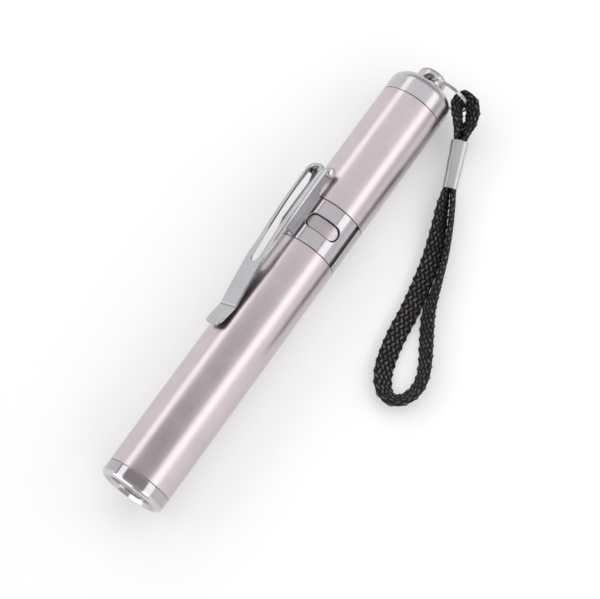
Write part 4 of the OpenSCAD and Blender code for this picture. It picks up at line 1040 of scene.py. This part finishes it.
# %% [markdown]
# The pocket clip is the piece that takes the most skill. It is stamped flat with a long tapered slot and
# two tabs for the pin, and then folded. The folded form could be modelled at once, but its slot and eyes
# are easier to draw in the flat, so the blank comes first. Its flanges deepen toward the hinge, and their
# width in the flat is worked out from the fold: how far the sheet runs round the bend and down the side.
# %% Clip blank
# The back's widths and foot, the slot, and the flanges with their folds.
FOOT_W, ROOT_W, TAPER_SHARE, FOOT_CORNER, CORNER_POINTS = 5.1, 6.2, 0.72, 1.4, 12
SLOT_FROM, SLOT_TO, SLOT_FOOT_W, SLOT_ROOT_W, SLOT_POINTS = 51.17, 74.9, 2.6, 3.9, 16
FLANGE_FROM, FLANGE_DEEP, FOLD_R, FOLD_RUN, TIGHTEST = 50.97, 1.05, 0.5, 6.0, 1e-4
SIDE_FROM, SIDE_POINTS, FLANGE_POINTS = FOOT + FOOT_CORNER + 0.2, 14, 30
# The tabs with their eyes, by angles round the pin, and the round top end.
TAB_FROM, TAB_START, TAB_END, TAB_POINTS, EYE_HOLE = 73.7, -0.375 * math.pi, 0.85 * math.pi, 20, 0.55
END_FROM, END_TO, END_TIP, END_PROUD, END_START, END_POINTS = 74.0, 75.5, 0.5, 0.2, 0.15, 12


def half_width(station):
    return (FOOT_W + (ROOT_W - FOOT_W) * min(1, (station - FOOT) / ((TOP - FOOT) * TAPER_SHARE))) / 2


def fold(station):
    """Where the flat back ends, how tight its side folds are and how far they have grown at a station."""
    share = min(1, max(0, (station - FLANGE_FROM) / FOLD_RUN))
    share = share ** 2 * (3 - 2 * share)
    radius = max(TIGHTEST, FOLD_R * share)
    return half_width(station) - CLIP_T / 2 * share - radius, radius, share


def unfolded(station, deep):
    """Distance along the sheet from the middle line to a depth below the clip's outer face."""
    flat, radius, share = fold(station)
    return flat + radius * math.pi / 2 + max(0, deep - CLIP_T / 2 - radius) * share


def flange_depth(station):
    return CLIP_T + (FLANGE_DEEP - CLIP_T / 2) * (station - FLANGE_FROM) / (TOP - FLANGE_FROM)


pin_deep = arch(PIN_AT) - PIN_U
end_reach = fold(END_FROM)[0] + END_PROUD - END_TIP
corner_middle = (half_width(FOOT) - FOOT_CORNER, FOOT + FOOT_CORNER)
one_side = arc(corner_middle, FOOT_CORNER, -math.pi / 2, 0, CORNER_POINTS)
one_side += [(half_width(s), s) for s in np.linspace(SIDE_FROM, FLANGE_FROM, SIDE_POINTS)]
one_side += [(unfolded(s, flange_depth(s)), s) for s in np.linspace(FLANGE_FROM, TAB_FROM, FLANGE_POINTS)[1:]]
one_side += [(unfolded(PIN_AT + b, pin_deep + a), PIN_AT + b)
             for a, b in arc((0, 0), EYE_R, TAB_START, TAB_END, TAB_POINTS)]
one_side += [(END_TIP + end_reach * math.cos(t), END_FROM + (END_TO - END_FROM) * math.sin(t))
             for t in np.linspace(END_START, math.pi / 2, END_POINTS)]
clip_line = one_side + [(-a, b) for a, b in one_side[::-1]]
slot_line = (arc((0, SLOT_TO - SLOT_ROOT_W / 2), SLOT_ROOT_W / 2, 0, math.pi, SLOT_POINTS)
             + arc((0, SLOT_FROM + SLOT_FOOT_W / 2), SLOT_FOOT_W / 2, -math.pi, 0, SLOT_POINTS))
eye_middle = unfolded(PIN_AT, pin_deep)
eye_lines = [arc((side * eye_middle, PIN_AT), EYE_HOLE, 0, math.tau, HOLE_POINTS)[:-1] for side in (-1, 1)]
print("clip blank of", len(clip_line), "points,", round(2 * eye_middle, 2), "mm between its eyes")

# %% [markdown]
# Then the blank is bent, as press tools would do it: the sides turn down into flanges, the back is arched,
# and the foot is kicked up so that it slides over a pocket's edge. Armature or Simple Deform modifiers
# could bend a strip, but not fold flanges that grow, so one rule takes each point through both bends.
# %% Pocket clip
CLIP_EDGE, SOFTEN, SOFTEN_POINTS, SLOPE_STEP = 0.16, 0.2, 5, 0.5
FOLD_CUT_FROM, FOLD_CUT_TO, FOLD_CUT_STEP = 1.9, 3.6, 0.08
ARCH_CUT_FROM, ARCH_CUT_STEP, BEND_REACH, FINE_CUT_STEP = FOOT + 0.4, 0.6, 0.6, 0.1


def folded(a, b, c):
    """Folds the flat clip: a runs across, b along the barrel, c through the thickness."""
    flat, radius, _ = fold(b)
    side, beyond = math.copysign(1, a), abs(a) - flat
    if beyond <= 0:
        across, drop, tip = a, 0.0, 0.0
    elif beyond <= radius * math.pi / 2:
        tip = beyond / radius
        across, drop = side * (flat + radius * math.sin(tip)), radius * (1 - math.cos(tip))
    else:
        tip = math.pi / 2
        across, drop = side * (flat + radius), radius + beyond - radius * math.pi / 2
    height = sum(arch(b + step) for step in np.linspace(-SOFTEN, SOFTEN, SOFTEN_POINTS)) / SOFTEN_POINTS
    slope = (arch(b + SLOPE_STEP) - arch(b - SLOPE_STEP)) / (2 * SLOPE_STEP) * math.cos(tip)
    lean = 1 / math.hypot(1, slope)
    out_c = c * math.cos(tip)
    return at(b - out_c * slope * lean, height - CLIP_T / 2 - drop + out_c * lean,
              across + c * side * math.sin(tip), CLIP_ANGLE)


side_cuts = np.arange(FOLD_CUT_FROM, FOLD_CUT_TO, FOLD_CUT_STEP)
fold_cuts = [*-side_cuts, *side_cuts, 0.0]
arch_cuts = np.concatenate((np.arange(ARCH_CUT_FROM, TOP, ARCH_CUT_STEP),
                            BEND + np.arange(-BEND_REACH, BEND_REACH + FINE_CUT_STEP / 2, FINE_CUT_STEP),
                            np.arange(FLANGE_FROM, FLANGE_FROM + FOLD_RUN, FINE_CUT_STEP)))
arch_cuts = sorted(set(np.round(arch_cuts, 3)))
blank = sheet([clip_line, slot_line, *eye_lines], CLIP_T, CLIP_EDGE, fold_cuts, arch_cuts)
clip = even(made("folded_pocket_clip", bent(blank, folded)))
fitted(clip, "clip", CLIP_STEEL, "chrome_trim", "pocket_clip")

# %% [markdown]
# The hinge pin is a rivet. Its ends are spun over into low heads with a small dimple in the middle, which
# shows in the photo as fine rings. A plain cylinder has no heads, so it is turned from a profile that is
# drawn once, from the shank to the dimple, and mirrored.
# %% Hinge pin
HEAD_IN, RIVET_SIDES = 3.15, 48
HEAD_LINE = [(0, PIN_R), (0, 0.72), (0.05, 0.75), (0.12, 0.72), (0.2, 0.55), (0.2, 0.36), (0.1, 0.3),
             (0.16, 0.12), (0.16, 0)]
rivet = [(-HEAD_IN - s, r) for s, r in HEAD_LINE[::-1]] + [(HEAD_IN + s, r) for s, r in HEAD_LINE]
pin = turned("hinge_rivet", rivet, False, at(PIN_AT, PIN_U, 0, CLIP_ANGLE), pin_axis, RIVET_SIDES)
fitted(pin, "barrel", WIRE_STEEL, "chrome_trim", "clip_pin")

# %% [markdown]
# The works inside could be modelled again with round edges, but little of them is seen and their CAD solids
# already have the right shape. They only take their finishes: green boards, brass contacts, a wrapped
# cell, dark plastic and rubber.
# %% Finishes of the works
INSIDE = {
    LENS: ("lens",), RUBBER: ("lens_gasket", "grip_ring"), PHOSPHOR: ("led_emitter",),
    BOARD_WHITE: ("led_board",), SINK_METAL: ("heat_sink",), INSULATOR: ("contact_washer", "cell_sleeve"),
    BRASS: ("front_contact", "plug_contacts"), CELL_WRAP: ("battery_cell",), SPRING_STEEL: ("cell_spring",),
    BOARD_GREEN: ("spring_plate", "charge_board"), SLEEVE_METAL_AND_SHADE: ("waist_sleeve",),
    DARK_PLASTIC: ("switch_body", "switch_stem", "plug_collar"), PLUG_METAL: ("plug_shell",),
    TONGUE: ("plug_tongue",)}
for material, nodes in INSIDE.items():
    for node in nodes:
        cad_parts[node].data.materials.clear()
        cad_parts[node].data.materials.append(material)
print("finished inside:", sum(len(nodes) for nodes in INSIDE.values()), "solids")

# %% [markdown]
# The photo is a studio picture on white, so the penlight lies on a lit shooting table: a pale sheet that
# also glows a little from below. A plain white floor would mirror too brightly in the tube's lower edges.
# %% Table
TABLE_HALF, TABLE_SCALE, TABLE_ROUGHNESS, TABLE_GLOW = 3.0, 8, 0.9, 0.3
TABLE_DARK, TABLE_LIGHT = shade(0.55, 0.55, 0.55), shade(0.57, 0.57, 0.57)
corners = [(x * TABLE_HALF, y * TABLE_HALF, 0) for x, y in ((-1, -1), (1, -1), (1, 1), (-1, 1))]
table_mesh = bpy.data.meshes.new("table")
table_mesh.from_pydata(corners, [], [range(len(corners))])
table = bpy.data.objects.new("table", table_mesh)
scene.collection.objects.link(table)
wires, spot, lay_on = painted("white_table")
table_mesh.materials.append(lay_on(
    Base_Color=wires.noise(spot, TABLE_SCALE).mix(TABLE_DARK, TABLE_LIGHT), Roughness=TABLE_ROUGHNESS,
    Emission_Color=shade(1, 1, 1), Emission_Strength=TABLE_GLOW))
table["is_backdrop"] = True
print("table is", 2 * TABLE_HALF, "m wide")

# %% [markdown]
# Two long soft boxes stand over the barrel, one to each side, and draw the two bright streaks along the
# tubes. A picture of a studio could light the scene at once, but no streak could then be placed by itself.
# Between the boxes the ceiling is darker. Low cards and a front light show only as reflections in the
# metal, and a wide light overhead, which no reflection shows, fills the shadows on the table.
# %% Light and air
# Each light: its turn from the vertical in degrees, distance, length, breadth, radiance and place along X.
LIGHTS = {
    "left_softbox": (-52, 0.3, 0.7, 0.115, 1.5, 0), "low_left_softbox": (-80, 0.36, 0.7, 0.12, 0.58, 0),
    "right_softbox": (55.5, 0.3, 0.7, 0.147, 1.55, 0),
    "low_right_softbox": (80, 0.36, 0.49, 0.135, 0.6, 0.105),
    "ceiling_softbox": (1, 0.4, 0.42, 0.6, 0.6, -0.3), "front_softbox": (-60, 0.45, 0.9, 0.45, 1.7, 0.7),
    "room_light": (0, 1.0, 2.4, 2.4, 0.56, 0)}
ONLY_REFLECTED = ("low_left_softbox", "low_right_softbox", "front_softbox")
AIR = shade(0.48, 0.466, 0.473)


def softbox(name, angle, away, long, broad, radiance, along):
    """A long light over the barrel, turned from the vertical toward +Y by an angle."""
    turn = math.radians(angle)
    data = bpy.data.lights.new(name, "AREA")
    data.shape, data.size, data.size_y = "RECTANGLE", long, broad
    data.energy = radiance * math.pi * long * broad
    lamp = bpy.data.objects.new(name, data)
    lamp.location = (along, math.sin(turn) * away, AXIS.z + math.cos(turn) * away)
    lamp.rotation_euler = (-turn, 0, 0)
    lamp.visible_diffuse = name not in ONLY_REFLECTED
    scene.collection.objects.link(lamp)
    return lamp


lamps = {name: softbox(name, *sizes) for name, sizes in LIGHTS.items()}
front = lamps["front_softbox"]
front.rotation_euler = front.location.to_track_quat("Z", "Y").to_euler()
lamps["room_light"].visible_glossy = False
world = bpy.data.worlds.new("studio")
world.use_nodes = True
world.node_tree.nodes["Background"].inputs["Color"].default_value = AIR
scene.world = world
scene.view_settings.view_transform = "Standard"
print("lights:", list(lamps))

# %% [markdown]
# Last, the size of the finished model is printed, to be read beside the CAD box printed at the start. A
# piece that had slipped out of place would show there as a larger box.
# %% Size and finish
shown_box = [list(corner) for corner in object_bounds()]
print("shown box in mm", [[round(value / MM, 2) for value in corner] for corner in shown_box])
